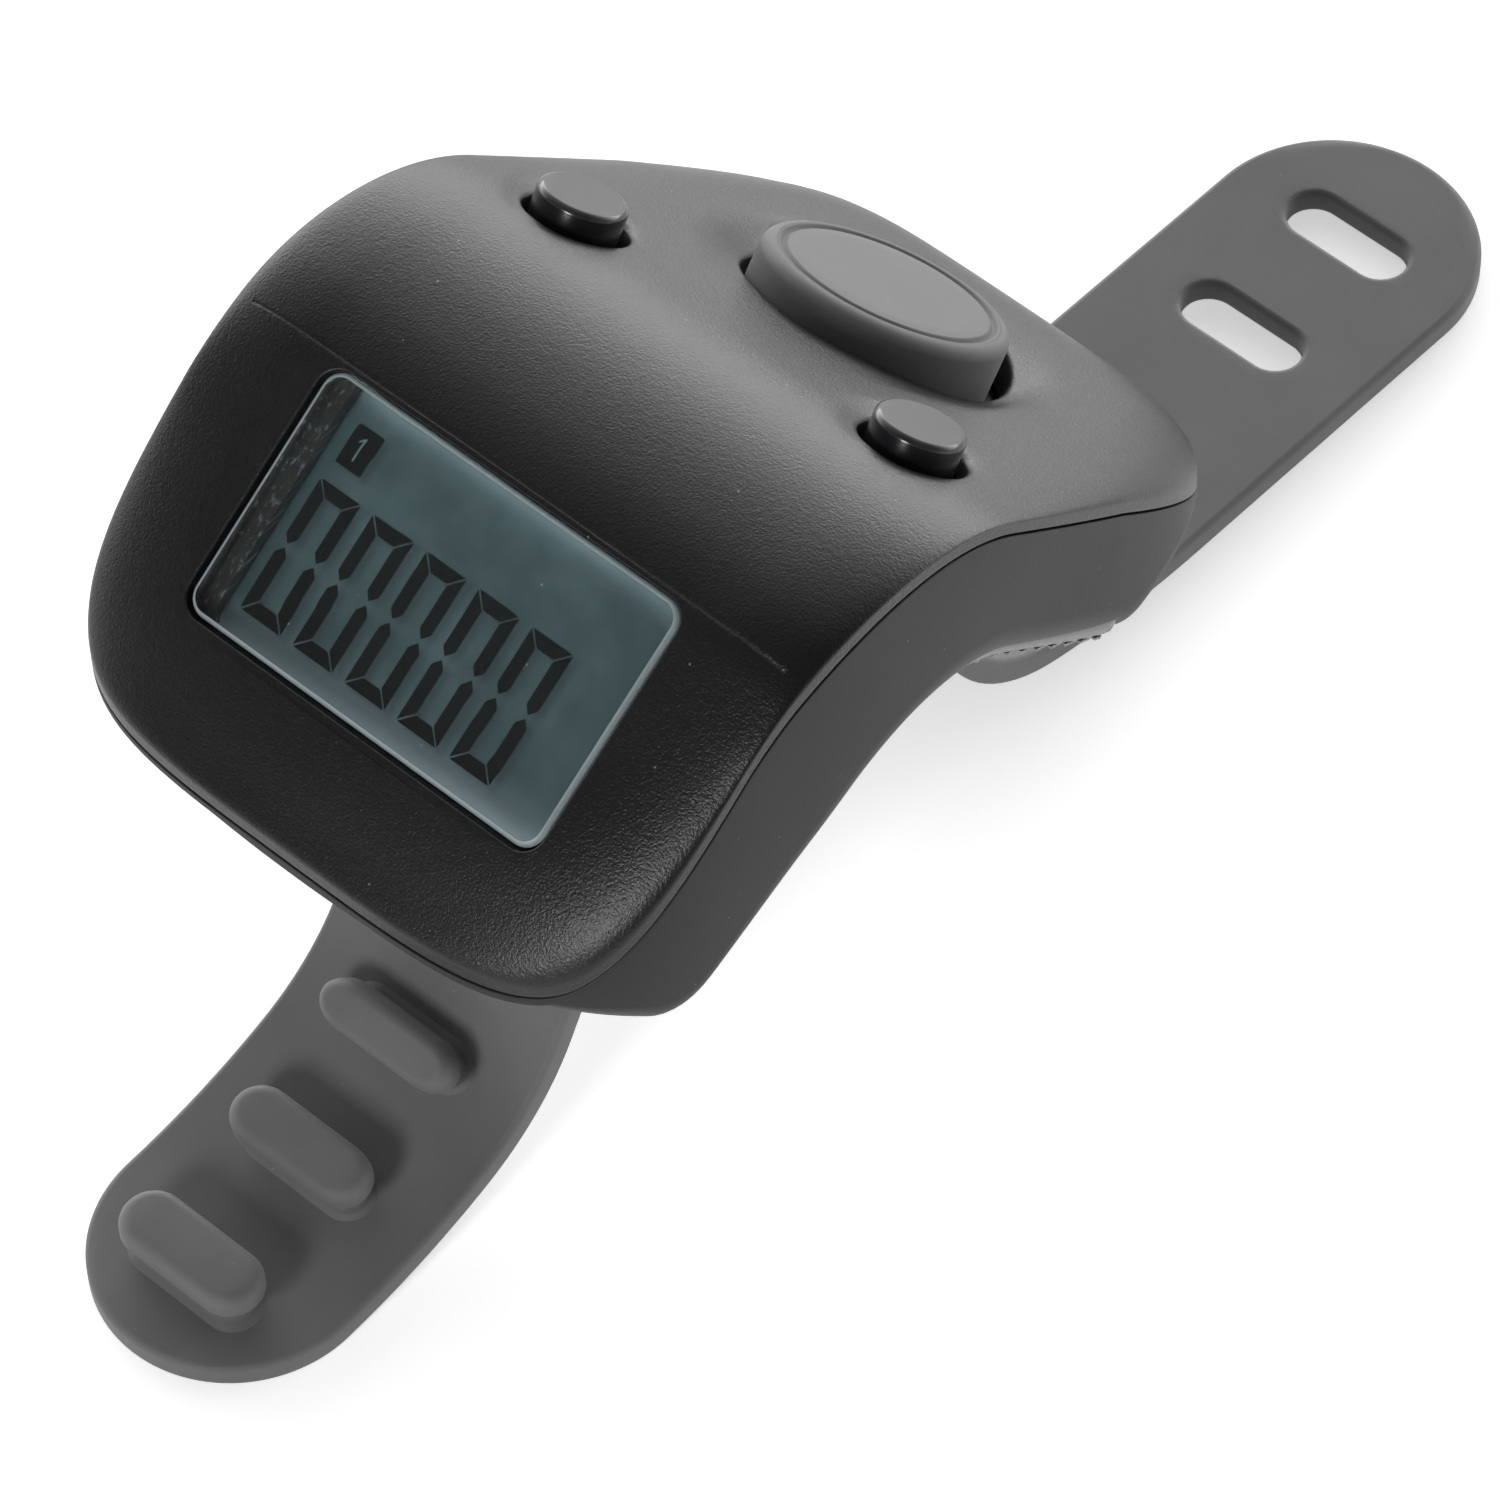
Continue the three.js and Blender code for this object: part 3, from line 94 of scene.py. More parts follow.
def corner_arc(before: Array, corner: Array, after: Array, radius: float) -> Array:
    """Points of the arc that rounds a corner.

    The arc's centre lies on the corner's bisector, radius / sin(half the corner's angle) from it.

    Args:
        before: Point that the path comes from.
        corner: The corner.
        after: Point that the path goes to.
        radius: Radius of the rounding.

    Returns:
        The arc's points, one a row.
    """
    back = (before - corner) / np.linalg.norm(before - corner)
    on = (after - corner) / np.linalg.norm(after - corner)
    half = math.acos(float(np.clip(back @ on, -1, 1))) / 2
    bisector = (back + on) / np.linalg.norm(back + on)
    centre = corner + bisector * radius / math.sin(half)
    start = corner + back * radius / math.tan(half) - centre
    end = corner + on * radius / math.tan(half) - centre
    turn = math.atan2(start[0] * end[1] - start[1] * end[0], float(start @ end))
    count = max(2, math.ceil(abs(math.degrees(turn)) / ARC_STEP))
    angles = np.linspace(0, turn, count + 1)
    cos, sin = np.cos(angles), np.sin(angles)
    spokes = np.stack([start[0] * cos - start[1] * sin, start[0] * sin + start[1] * cos], 1)
    return centre + spokes


def rounded_path(corners: Sequence[tuple[float, float, float]]) -> Array:
    """A path of straight lines through corners, each corner rounded by its own radius.

    Args:
        corners: Each corner as (y, z, radius); the first and last are the ends. The roundings mustn't
            overlap, or y would run back.

    Returns:
        The path's (y, z) points, with y rising.
    """
    at = np.array([c[:2] for c in corners], float)
    arcs = [
        corner_arc(at[i - 1], at[i], at[i + 1], corners[i][2])
        for i in range(1, len(corners) - 1)
    ]
    return np.vstack([at[:1], *arcs, at[-1:]])


def height_on(path: Array, y: Array) -> Array:
    """Height of a path at y, by straight lines between its points."""
    return np.interp(y, path[:, 0], path[:, 1])


def stations(inner: int, outer: int) -> Array:
    """Grid stations from -1 to 1, closer together towards the ends.

    The inner ones are evenly spaced up to EVEN_SHARE, the outer ones follow a sine from there to 1.

    Args:
        inner: Number of even steps on each side.
        outer: Number of closing steps on each side.

    Returns:
        The stations in rising order.
    """
    even = EVEN_SHARE * np.arange(1, inner + 1) / inner
    closing = EVEN_SHARE + (1 - EVEN_SHARE) * np.sin(np.pi / 2 * np.arange(1, outer + 1) / outer)
    half = np.concatenate([even, closing])
    return np.concatenate([-half[::-1], [0.0], half])


@dataclass(frozen=True)
class Seat:
    """A local frame on a slope: x is the part's X, y runs along the slope to the back, z is its normal."""

    x: float
    y: float
    z: float
    tilt: float

    def place(self, points: Array) -> Array:
        """Turns local points by the tilt about X, then moves them to the seat's origin."""
        cos, sin = math.cos(math.radians(self.tilt)), math.sin(math.radians(self.tilt))
        placed = np.empty_like(points)
        placed[..., 0] = points[..., 0] + self.x
        placed[..., 1] = cos * points[..., 1] - sin * points[..., 2] + self.y
        placed[..., 2] = sin * points[..., 1] + cos * points[..., 2] + self.z
        return placed


UPRIGHT = Seat(0, 0, 0, 0)


@dataclass
class Surface:
    """Vertices and faces of one closed surface, in millimetres."""

    points: Array
    faces: list[tuple[int, ...]]

    def joined(self, other: "Surface") -> "Surface":
        """This surface and another one beside it, as one."""
        shift = len(self.points)
        moved = [tuple(i + shift for i in face) for face in other.faces]
        return Surface(np.vstack([self.points, other.points]), self.faces + moved)


def grid_faces(index: Array) -> list[tuple[int, ...]]:
    """Quads between the neighbours of a grid of vertex numbers, seen turning left from above."""
    quads = np.stack([index[:-1, :-1], index[:-1, 1:], index[1:, 1:], index[1:, :-1]], -1)
    return [tuple(quad) for quad in quads.reshape(-1, 4).tolist()]


def rim_of(index: Array) -> Array:
    """Vertex numbers round the edge of a grid, turning left as seen from above."""
    return np.concatenate([index[0, :-1], index[:-1, -1], index[-1, :0:-1], index[:0:-1, 0]])


def closed_layers(layers: Sequence[Array]) -> Surface:
    """A closed body between an upper and a lower grid, with the rims of the layers between as its wall.

    Args:
        layers: Grids of points, from the top one to the bottom one, all with the same shape.

    Returns:
        The body's surface, facing outwards.
    """
    rows, columns = layers[0].shape[:2]
    index = np.arange(rows * columns).reshape(rows, columns)
    rim = rim_of(index)
    count = rows * columns
    wall = [layer.reshape(-1, 3)[rim] for layer in layers[1:-1]]
    points = np.vstack([layers[0].reshape(-1, 3), *wall, layers[-1].reshape(-1, 3)])
    loops = [rim]
    loops += [count + k * len(rim) + np.arange(len(rim)) for k in range(len(wall))]
    last = count + len(wall) * len(rim)
    loops.append(last + rim)
    faces = grid_faces(index)
    faces += [face[::-1] for face in grid_faces(index + last)]
    for above, below in zip(loops[:-1], loops[1:]):
        faces += loop_faces(below, above)
    return Surface(points, faces)


def loop_faces(below: Array, above: Array) -> list[tuple[int, ...]]:
    """Quads from one closed loop of vertices up to the next, facing away from their middle."""
    quads = np.stack([below, np.roll(below, -1), np.roll(above, -1), above], -1)
    return [tuple(quad) for quad in quads.tolist()]


def lofted(rings: Sequence[Array]) -> Surface:
    """A body whose skin runs from ring to ring, with a fan to the middle at each end.

    Args:
        rings: Closed rings of points with the same number of points, from the lowest to the highest,
            each turning left as seen from above.

    Returns:
        The body's surface, facing outwards.
    """
    count = len(rings[0])
    loops = [k * count + np.arange(count) for k in range(len(rings))]
    points = np.vstack([*rings, rings[0].mean(0), rings[-1].mean(0)])
    faces: list[tuple[int, ...]] = []
    for below, above in zip(loops[:-1], loops[1:]):
        faces += loop_faces(below, above)
    low, high = len(points) - 2, len(points) - 1
    first, last = loops[0].tolist(), loops[-1].tolist()
    faces += [(low, first[(i + 1) % count], first[i]) for i in range(count)]
    faces += [(high, last[i], last[(i + 1) % count]) for i in range(count)]
    return Surface(points, faces)


def circle(radius: float, segments: int) -> Array:
    """Points of a circle, turning left."""
    angles = np.arange(segments) * 2 * np.pi / segments
    return radius * np.stack([np.cos(angles), np.sin(angles)], 1)


def rounded_rectangle(width: float, height: float, corner: float, steps: int = 8) -> Array:
    """Points of a rectangle with round corners, or of a stadium where the corner is half its height.

    Args:
        width: Size along x.
        height: Size along y.
        corner: Radius of the corners.
        steps: Steps on each corner's arc.

    Returns:
        The points, turning left.
    """
    corner = max(corner, 1e-4)
    arc = np.radians(np.linspace(0, 90, steps + 1))
    points = []
    for turn, (sx, sy) in enumerate([(1, 1), (-1, 1), (-1, -1), (1, -1)]):
        centre = np.array([sx * (width / 2 - corner), sy * (height / 2 - corner)])
        angles = arc + turn * np.pi / 2
        points.append(centre + corner * np.stack([np.cos(angles), np.sin(angles)], 1))
    return np.vstack(points)


def turned(profile: Iterable[tuple[float, float]]) -> Surface:
    """A round body on the z axis, of (radius, height) from the lowest to the highest."""
    return lofted([ring_at(circle(max(radius, SKIN), 128), height) for radius, height in profile])


def ring_at(flat: Array, height: float) -> Array:
    """A flat ring lifted to a height."""
    return np.column_stack([flat, np.full(len(flat), height)])


def fillet(radius: float, start: float, end: float, steps: int) -> list[tuple[float, float]]:
    """Offsets (outwards, up) on a quarter of a circle whose centre is the origin.

    Args:
        radius: The circle's radius.
        start: First angle in degrees from outwards to up.
        end: Last angle.
        steps: Steps between them.

    Returns:
        Offsets from the centre.
    """
    angles = np.radians(np.linspace(start, end, steps + 1))
    return [(radius * math.cos(a), radius * math.sin(a)) for a in angles]


def flared(radius: float) -> list[tuple[float, float]]:
    """Profile of a cutter that leaves a rounded edge round its hole.

    From the wall, (0, -radius), it follows the quarter circle whose centre is (radius, -radius) up to the
    surface at height 0, crosses it at a small angle, and goes on upwards.

    Args:
        radius: Radius of the edge.

    Returns:
        (outwards, height) from the lowest to the highest.
    """
    arc = [
        (radius - radius * math.sin(math.radians(a)), radius * math.cos(math.radians(a)) - radius)
        for a in np.linspace(90, CROSSING, 7)
    ]
    out, up = arc[-1]
    rise = CROSSING_REACH * math.tan(math.radians(CROSSING))
    return [*arc, (out + CROSSING_REACH, up + rise), (out + CROSSING_REACH, CROSSING_LIFT)]


def stadium_body(
    size: tuple[float, float], y: float, profile: Iterable[tuple[float, float]], steps: int = 12
) -> Surface:
    """A body of stadium outlines round (0, y).

    Args:
        size: Length along x and width along y.
        y: Where its middle lies.
        profile: (outset, height) of each outline, from the lowest to the highest.
        steps: Steps on each quarter of an end.

    Returns:
        The body's surface.
    """
    rings = []
    for outset, height in profile:
        length, width = size[0] + 2 * outset, size[1] + 2 * outset
        ring = rounded_rectangle(length, width, width / 2 - SKIN, steps)
        rings.append(ring_at(ring + np.array([0, y]), height))
    return lofted(rings)


def make_object(name: str, surface: Surface) -> bpy.types.Object:
    """Makes an object of a surface, still in millimetres, with its seams and poles closed.

    Args:
        name: The object's name.
        surface: Its surface.

    Returns:
        The object, linked to the scene.
    """
    mesh = bpy.data.meshes.new(name)
    mesh.from_pydata(surface.points.tolist(), [], surface.faces)
    work = bmesh.new()
    work.from_mesh(mesh)
    bmesh.ops.remove_doubles(work, verts=work.verts, dist=2e-5)
    bmesh.ops.dissolve_degenerate(work, edges=work.edges, dist=1e-6)
    work.to_mesh(mesh)
    work.free()
    obj = bpy.data.objects.new(name, mesh)
    bpy.context.scene.collection.objects.link(obj)
    return obj


class Cut(Enum):
    """How one body changes another."""

    AWAY = "DIFFERENCE"
    ONTO = "UNION"
    WITHIN = "INTERSECT"


def carve(obj: bpy.types.Object, changes: Sequence[tuple[Cut, Surface]]) -> None:
    """Cuts bodies out of an object, or joins them onto it, one after the other.

    Args:
        obj: The object, in millimetres.
        changes: What to do and with which body.
    """
    helpers = []
    for way, surface in changes:
        helper = make_object("helper", surface)
        modifier = obj.modifiers.new("change", "BOOLEAN")
        modifier.object = helper
        modifier.operation = way.value
        modifier.solver = "MANIFOLD"
        helpers.append(helper)
    bpy.context.view_layer.update()
    evaluated = obj.evaluated_get(bpy.context.evaluated_depsgraph_get())
    mesh = bpy.data.meshes.new_from_object(evaluated)
    obj.modifiers.clear()
    obj.data = mesh
    mesh.name = obj.name
    for helper in helpers:
        bpy.data.objects.remove(helper)


def read_points(mesh: bpy.types.Mesh) -> Array:
    """The mesh's points, one a row."""
    flat = np.empty(len(mesh.vertices) * 3)
    mesh.vertices.foreach_get("co", flat)
    return flat.reshape(-1, 3)


def write_points(mesh: bpy.types.Mesh, points: Array) -> None:
    """Puts points back into a mesh."""
    mesh.vertices.foreach_set("co", points.ravel())
    mesh.update()


def note_edges(mesh: bpy.types.Mesh) -> None:
    """Stores how tightly the surface turns outwards at each point, from 0 to 1 at WEAR_AND_HIGHLIGHT_RADIUS.

    For an edge from a to b with normal n at a, the curvature is 2 n . (a - b) / |a - b| ** 2; a point takes
    the mean over its edges, weighed by their lengths.

    Args:
        mesh: The mesh, in millimetres.
    """
    points = read_points(mesh)
    pairs = np.empty(len(mesh.edges) * 2, dtype=np.int32)
    mesh.edges.foreach_get("vertices", pairs)
    normals = np.empty(len(points) * 3)
    mesh.vertex_normals.foreach_get("vector", normals)
    pairs, normals = pairs.reshape(-1, 2), normals.reshape(-1, 3)
    total, weight = np.zeros(len(points)), np.full(len(points), 1e-9)
    for one, other in ((0, 1), (1, 0)):
        here = pairs[:, one]
        step = points[here] - points[pairs[:, other]]
        length = np.maximum(np.linalg.norm(step, axis=1), 1e-4)
        turn = 2 * (normals[here] * step).sum(1) / length
        total += np.bincount(here, turn, len(points))
        weight += np.bincount(here, length, len(points))
    store(mesh, "edge", np.clip(WEAR_AND_HIGHLIGHT_RADIUS * total / weight, 0, 1))


def store(mesh: bpy.types.Mesh, name: str, values: Array) -> None:
    """Stores one number for each point."""
    layer = mesh.attributes.new(name, "FLOAT", "POINT")
    layer.data.foreach_set("value", values.astype(np.float32))


@dataclass(frozen=True)
class Place:
    """Where the shapes' origin lies in the frame, in millimetres."""

    y: float
    z: float

    def settle(self, obj: bpy.types.Object, sharp: float = SHARP_ANGLE) -> None:
        """Moves a shape in millimetres into the frame, in metres, and sets its shading.

        Args:
            obj: The object.
            sharp: Angle in radians above which an edge is drawn sharp.
        """
        note_edges(obj.data)
        points = (read_points(obj.data) + np.array([0, self.y, self.z])) * MM
        write_points(obj.data, points)
        obj.data.shade_smooth()
        obj.data.set_sharp_from_angle(angle=sharp)


class Nodes:
    """Adds nodes and links to one tree."""

    def __init__(self, tree: bpy.types.NodeTree) -> None:
        """Takes the tree to add to."""
        self.tree = tree

    def add(self, kind: str, settings: dict | None = None, **inputs: object) -> bpy.types.Node:
        """Adds one node.

        Args:
            kind: The node's type name without its prefix.
            settings: Values of the node's own properties.
            **inputs: For each input, written with _ for a space, a value or a socket to link.

        Returns:
            The node.
        """
        prefix = "" if kind.startswith("NodeGroup") else "ShaderNode"
        node = self.tree.nodes.new(prefix + kind)
        for name, value in (settings or {}).items():
            setattr(node, name, value)
        for name, value in inputs.items():
            self.feed(node.inputs[name.replace("_", " ")], value)
        return node

    def feed(self, socket: bpy.types.NodeSocket, value: object) -> None:
        """Links a socket into an input, or sets the input's value."""
        if isinstance(value, bpy.types.NodeSocket):
            self.tree.links.new(value, socket)
        elif isinstance(value, tuple) and len(value) == 3 and socket.type == "RGBA":
            socket.default_value = (*value, 1)
        else:
            socket.default_value = value

    def fix(self, node: bpy.types.Node, **numbers: object) -> None:
        """Sets inputs of a node by their names, written with _ for a space."""
        for name, number in numbers.items():
            node.inputs[name.replace("_", " ")].default_value = number

    def here(self) -> bpy.types.NodeSocket:
        """The object's own coordinates."""
        return self.add("TexCoord").outputs["Object"]

    def stored(self, name: str) -> bpy.types.NodeSocket:
        """A number that is stored for each point."""
        return self.add("Attribute", {"attribute_name": name}).outputs["Fac"]

    def emboss(self, shader: bpy.types.Node, height: bpy.types.NodeSocket, relief: float) -> None:
        """Turns a height into a shader's normal, with a relief in metres."""
        bump = self.add("Bump", Height=height, Distance=relief, Strength=1.0)
        self.feed(shader.inputs["Normal"], bump.outputs["Normal"])

    def sum(self, operation: str, *values: object) -> bpy.types.NodeSocket:
        """One step of arithmetic on values or sockets."""
        node = self.add("Math", {"operation": operation})
        for socket, value in zip(node.inputs, values):
            self.feed(socket, value)
        return node.outputs[0]

    def blend(self, share: object, first: object, second: object, mode: str = "MIX") -> bpy.types.NodeSocket:
        """Mixes two colours by a share."""
        node = self.add("Mix", {"data_type": "RGBA", "blend_type": mode})
        colours = [s for s in node.inputs if s.type == "RGBA"]
        self.feed(node.inputs[0], share)
        self.feed(colours[0], first)
        self.feed(colours[1], second)
        return next(s for s in node.outputs if s.type == "RGBA")

    def between(
        self, value: object, low: float, high: float, first: float, second: float
    ) -> bpy.types.NodeSocket:
        """Carries a value from one range to another, held within it."""
        node = self.add("MapRange", {"clamp": True}, Value=value)
        self.fix(node, From_Min=low, From_Max=high, To_Min=first, To_Max=second)
        return node.outputs[0]

    def group(self, tree: bpy.types.NodeTree, **inputs: object) -> bpy.types.Node:
        """Places a shared effect."""
        node = self.add("Group", {"node_tree": tree})
        for name, value in inputs.items():
            self.feed(node.inputs[name.replace("_", " ")], value)
        return node


def new_group(name: str, inputs: dict[str, float], outputs: Sequence[str]) -> tuple[Nodes, object, object]:
    """Starts a node group.

    Args:
        name: The group's name.
        inputs: Number inputs and their defaults.
        outputs: Number outputs.

    Returns:
        Its nodes, the group's input node and its output node.
    """
    tree = bpy.data.node_groups.new(name, "ShaderNodeTree")
    for label, default in inputs.items():
        socket = tree.interface.new_socket(label, in_out="INPUT", socket_type="NodeSocketFloat")
        socket.default_value = default
    for label in outputs:
        tree.interface.new_socket(label, in_out="OUTPUT", socket_type="NodeSocketFloat")
    nodes = Nodes(tree)
    return nodes, nodes.add("NodeGroupInput"), nodes.add("NodeGroupOutput")


class Effects:
    """The effects that several finishes share, each made once."""

    def __init__(self) -> None:
        """Makes the groups."""
        self.grain = self.make_grain()
        self.wear_and_highlight = self.make_wear_and_highlight()
        self.dust = self.make_dust()
        self.mottle = self.make_mottle()
        self.streaks = self.make_streaks()

    def make_grain(self) -> bpy.types.NodeTree:
        """Spark-eroded grain: small soft pits and hills, from two sizes of noise."""
        nodes, given, out = new_group("spark_grain", {"Fineness": 9000.0, "Coarse Share": 0.35}, ["Height"])
        where = nodes.here()
        fine = nodes.add("TexNoise", Vector=where, Scale=given.outputs["Fineness"], Detail=2.0, Roughness=0.6)
        slower = nodes.sum("MULTIPLY", given.outputs["Fineness"], 0.37)
        coarse = nodes.add("TexNoise", Vector=where, Scale=slower, Detail=1.0)
        part = nodes.sum("MULTIPLY", coarse.outputs[0], given.outputs["Coarse Share"])
        nodes.feed(out.inputs["Height"], nodes.sum("ADD", fine.outputs[0], part))
        return nodes.tree

    def make_wear_and_highlight(self) -> bpy.types.NodeTree:
        """Edges made lighter where the surface turns outwards, broken up by noise: partly rubbed wear, partly
        a painted highlight where rounded edges catch the light.
        """
        nodes, given, out = new_group("edge_wear", {"Breakup": 900.0}, ["Mask"])
        where = nodes.here()
        span = nodes.stored("edge")
        noise = nodes.add("TexNoise", Vector=where, Scale=given.outputs["Breakup"], Detail=3.0)
        patchy = nodes.between(noise.outputs[0], 0.35, 0.62, 0.35, 1.0)
        mask = nodes.add("Clamp", Value=nodes.sum("MULTIPLY", span, patchy))
        nodes.feed(out.inputs["Mask"], mask.outputs[0])
        return nodes.tree

    def make_dust(self) -> bpy.types.NodeTree:
        """A few tiny pale specks: the middles of scattered cells."""
        nodes, given, out = new_group("dust_specks", {"Density": 700.0, "Size": 0.05}, ["Mask"])
        where = nodes.here()
        cells = nodes.add("TexVoronoi", Vector=where, Scale=given.outputs["Density"])
        near = nodes.sum("LESS_THAN", cells.outputs["Distance"], given.outputs["Size"])
        lot = nodes.add("SeparateColor", Color=cells.outputs["Color"])
        some = nodes.sum("GREATER_THAN", lot.outputs[0], 0.72)
        nodes.feed(out.inputs["Mask"], nodes.sum("MULTIPLY", near, some))
        return nodes.tree

    def make_mottle(self) -> bpy.types.NodeTree:
        """Slow cloudy change over a surface, as handling and moulding leave."""
        nodes, given, out = new_group("cloudy", {"Scale": 90.0}, ["Value"])
        where = nodes.here()
        noise = nodes.add("TexNoise", Vector=where, Scale=given.outputs["Scale"], Detail=4.0, Roughness=0.55)
        nodes.feed(out.inputs["Value"], nodes.between(noise.outputs[0], 0.3, 0.7, 0.0, 1.0))
        return nodes.tree

    def make_streaks(self) -> bpy.types.NodeTree:
        """Fine streaks that run along the display's slope, as a cutter leaves on a wall."""
        nodes, given, out = new_group("wall_streaks", {"Share": 0.5}, ["Mask"])
        where = nodes.here()
        turned_to = nodes.add("Mapping", Vector=where)
        nodes.fix(turned_to, Rotation=(-math.radians(FORM_TILT), 0, 0), Scale=(1.0, 0.03, 1.0))
        noise = nodes.add("TexNoise", Vector=turned_to.outputs[0], Scale=4200.0, Detail=3.0, Roughness=0.7)
        mask = nodes.between(noise.outputs[0], 0.56, 0.74, 0.0, 1.0)
        nodes.feed(out.inputs["Mask"], nodes.sum("MULTIPLY", mask, given.outputs["Share"]))
        return nodes.tree


def new_material(name: str) -> tuple[bpy.types.Material, Nodes, bpy.types.Node]:
    """Starts a material with one Principled shader.

    Args:
        name: The material's name.

    Returns:
        The material, its nodes and the shader.
    """
    material = bpy.data.materials.new(name)
    material.use_nodes = True
    material.node_tree.nodes.clear()
    nodes = Nodes(material.node_tree)
    shader = nodes.add("BsdfPrincipled")
    output = nodes.add("OutputMaterial")
    nodes.feed(output.inputs["Surface"], shader.outputs[0])
    return material, nodes, shader


@dataclass(frozen=True)
class Moulded:
    """A moulded finish, in plastic or rubber, with grain, cloudy colour, edges lightened as wear and as a
    painted highlight, and dust.
    """

    name: str
    colour: str
    worn_and_highlit: str
    roughness: float = 0.45
    specular: float = 0.5
    fineness: float = 9000.0
    relief: float = 0.000008
    coarse: float = 0.35
    cloud: float = 0.12
    wear_and_highlight: float = 0.35
    dust: float = 0.5
    coat: float = 0.0
    sheen: float = 0.0
    streaks: float = 0.0

    def build(self, effects: Effects) -> bpy.types.Material:
        """Makes the material from the shared effects."""
        material, nodes, shader = new_material(self.name)
        clouds = nodes.group(effects.mottle, Scale=120.0).outputs["Value"]
        base = linear(self.colour)
        dark = tuple(c * (1 - self.cloud) for c in base)
        light = tuple(c * (1 + self.cloud) for c in base)
        colour = nodes.blend(clouds, dark, light)
        # Edges turn lighter: partly rubbed wear, partly a painted highlight where rounded edges catch the
        # light.
        worn_and_highlit = nodes.group(effects.wear_and_highlight).outputs["Mask"]
        colour = nodes.blend(nodes.sum("MULTIPLY", worn_and_highlit, self.wear_and_highlight), colour, linear(self.worn_and_highlit))
        specks = nodes.group(effects.dust, Density=900.0).outputs["Mask"]
        colour = nodes.blend(nodes.sum("MULTIPLY", specks, self.dust), colour, linear(DUST_COLOUR))
        if self.streaks:
            drawn = nodes.group(effects.streaks, Share=self.streaks).outputs["Mask"]
            colour = nodes.blend(drawn, colour, linear(STREAK_COLOUR))
        nodes.feed(shader.inputs["Base Color"], colour)
        rough = nodes.between(clouds, 0.0, 1.0, self.roughness * 0.93, self.roughness * 1.07)
        nodes.feed(shader.inputs["Roughness"], rough)
        grain = nodes.group(effects.grain, Fineness=self.fineness, Coarse_Share=self.coarse)
        nodes.emboss(shader, grain.outputs["Height"], self.relief)
        nodes.fix(shader, Specular_IOR_Level=self.specular, Coat_Weight=self.coat, Coat_Roughness=0.12,
                  Sheen_Weight=self.sheen, Sheen_Roughness=0.4)
        return material


@dataclass(frozen=True)
class Metal:
    """Bright plated metal, brushed along X, with a few dull patches."""

    name: str
    colour: str
    roughness: float = 0.3

    def build(self, effects: Effects) -> bpy.types.Material:
        """Makes the material from the shared effects."""
        material, nodes, shader = new_material(self.name)
        clouds = nodes.group(effects.mottle, Scale=600.0).outputs["Value"]
        base = linear(self.colour)
        colour = nodes.blend(clouds, tuple(c * 0.82 for c in base), base)
        nodes.feed(shader.inputs["Base Color"], colour)
        rough = nodes.between(clouds, 0, 1, self.roughness * 1.3, self.roughness)
        nodes.feed(shader.inputs["Roughness"], rough)
        drawn = nodes.add("Mapping", Vector=nodes.here())
        nodes.fix(drawn, Scale=(300, 9000, 9000))
        lines = nodes.add("TexNoise", Vector=drawn.outputs[0], Scale=1.0, Detail=2.0)
        nodes.emboss(shader, lines.outputs[0], 0.000002)
        nodes.fix(shader, Metallic=1.0)
        return material


@dataclass(frozen=True)
class ClearPlastic:
    """The clear window: smooth acrylic with faint smears, through which lamps still reach the display."""

    name: str = "clear_acrylic"
    tint: str = "f4f9f9"
    index: float = 1.49
    roughness: tuple[float, float] = (0.015, 0.06)
    clear: float = 1.0

    def build(self, effects: Effects) -> bpy.types.Material:
        """Makes the material from the shared effects."""
        material, nodes, shader = new_material(self.name)
        clouds = nodes.group(effects.mottle, Scale=260.0).outputs["Value"]
        nodes.feed(shader.inputs["Roughness"], nodes.between(clouds, 0, 1, *self.roughness))
        nodes.fix(shader, Base_Color=(*linear(self.tint), 1), Transmission_Weight=self.clear, IOR=self.index)
        clear = nodes.add("BsdfTransparent", Color=linear("eef6f6"))
        lamp = nodes.add("LightPath").outputs["Is Shadow Ray"]
        mixed = nodes.add("MixShader")
        nodes.feed(mixed.inputs[0], lamp)
        nodes.feed(mixed.inputs[1], shader.outputs[0])
        nodes.feed(mixed.inputs[2], clear.outputs[0])
        output = next(n for n in nodes.tree.nodes if n.type == "OUTPUT_MATERIAL")
        nodes.feed(output.inputs["Surface"], mixed.outputs[0])
        return material


@dataclass(frozen=True)
class DisplayFace:
    """The display's grey-green reflector, with painted light along its edges and painted shade beside its
    left wall, darker where its segments throw their soft painted shadow.
    """

    name: str = "display_face"
    dim: str = "27373a"
    bright: str = "93a8ae"
    shadow: str = "222a30"
    # colour of the painted glow, emitted along the display's edges though no lamp is there
    edge: str = "7a868b"

    def build(self, effects: Effects) -> bpy.types.Material:
        """Makes the material from the display's own attributes: its painted light and shade, the segments'
        painted shadow, and the painted glow along its edges.
        """
        material, nodes, shader = new_material(self.name)
        clouds = nodes.group(effects.mottle, Scale=420.0).outputs["Value"]
        uneven = nodes.sum("MULTIPLY", nodes.sum("SUBTRACT", clouds, 0.5), 0.1)
        # The share between the two colours paints light and shade on the reflector.
        share = nodes.sum("ADD", nodes.stored("glow"), uneven)
        colour = nodes.blend(share, linear(self.dim), linear(self.bright))
        colour = nodes.blend(nodes.stored("shadow"), colour, linear(self.shadow))
        specks = nodes.group(effects.dust, Density=1500.0, Size=0.06).outputs["Mask"]
        colour = nodes.blend(nodes.sum("MULTIPLY", specks, 0.6), colour, linear(SPECK_COLOUR))
        nodes.feed(shader.inputs["Base Color"], colour)
        # Painted glow: emission standing in for light that the window's rim passes on.
        painted_glow_colour = nodes.blend(nodes.stored("lit"), (0.0, 0.0, 0.0), linear(self.edge))
        nodes.feed(shader.inputs["Emission Color"], painted_glow_colour)
        grain = nodes.group(effects.grain, Fineness=14000.0)
        nodes.emboss(shader, grain.outputs["Height"], 0.000002)
        nodes.fix(shader, Emission_Strength=1.0, Roughness=0.42, Specular_IOR_Level=0.3)
        return material


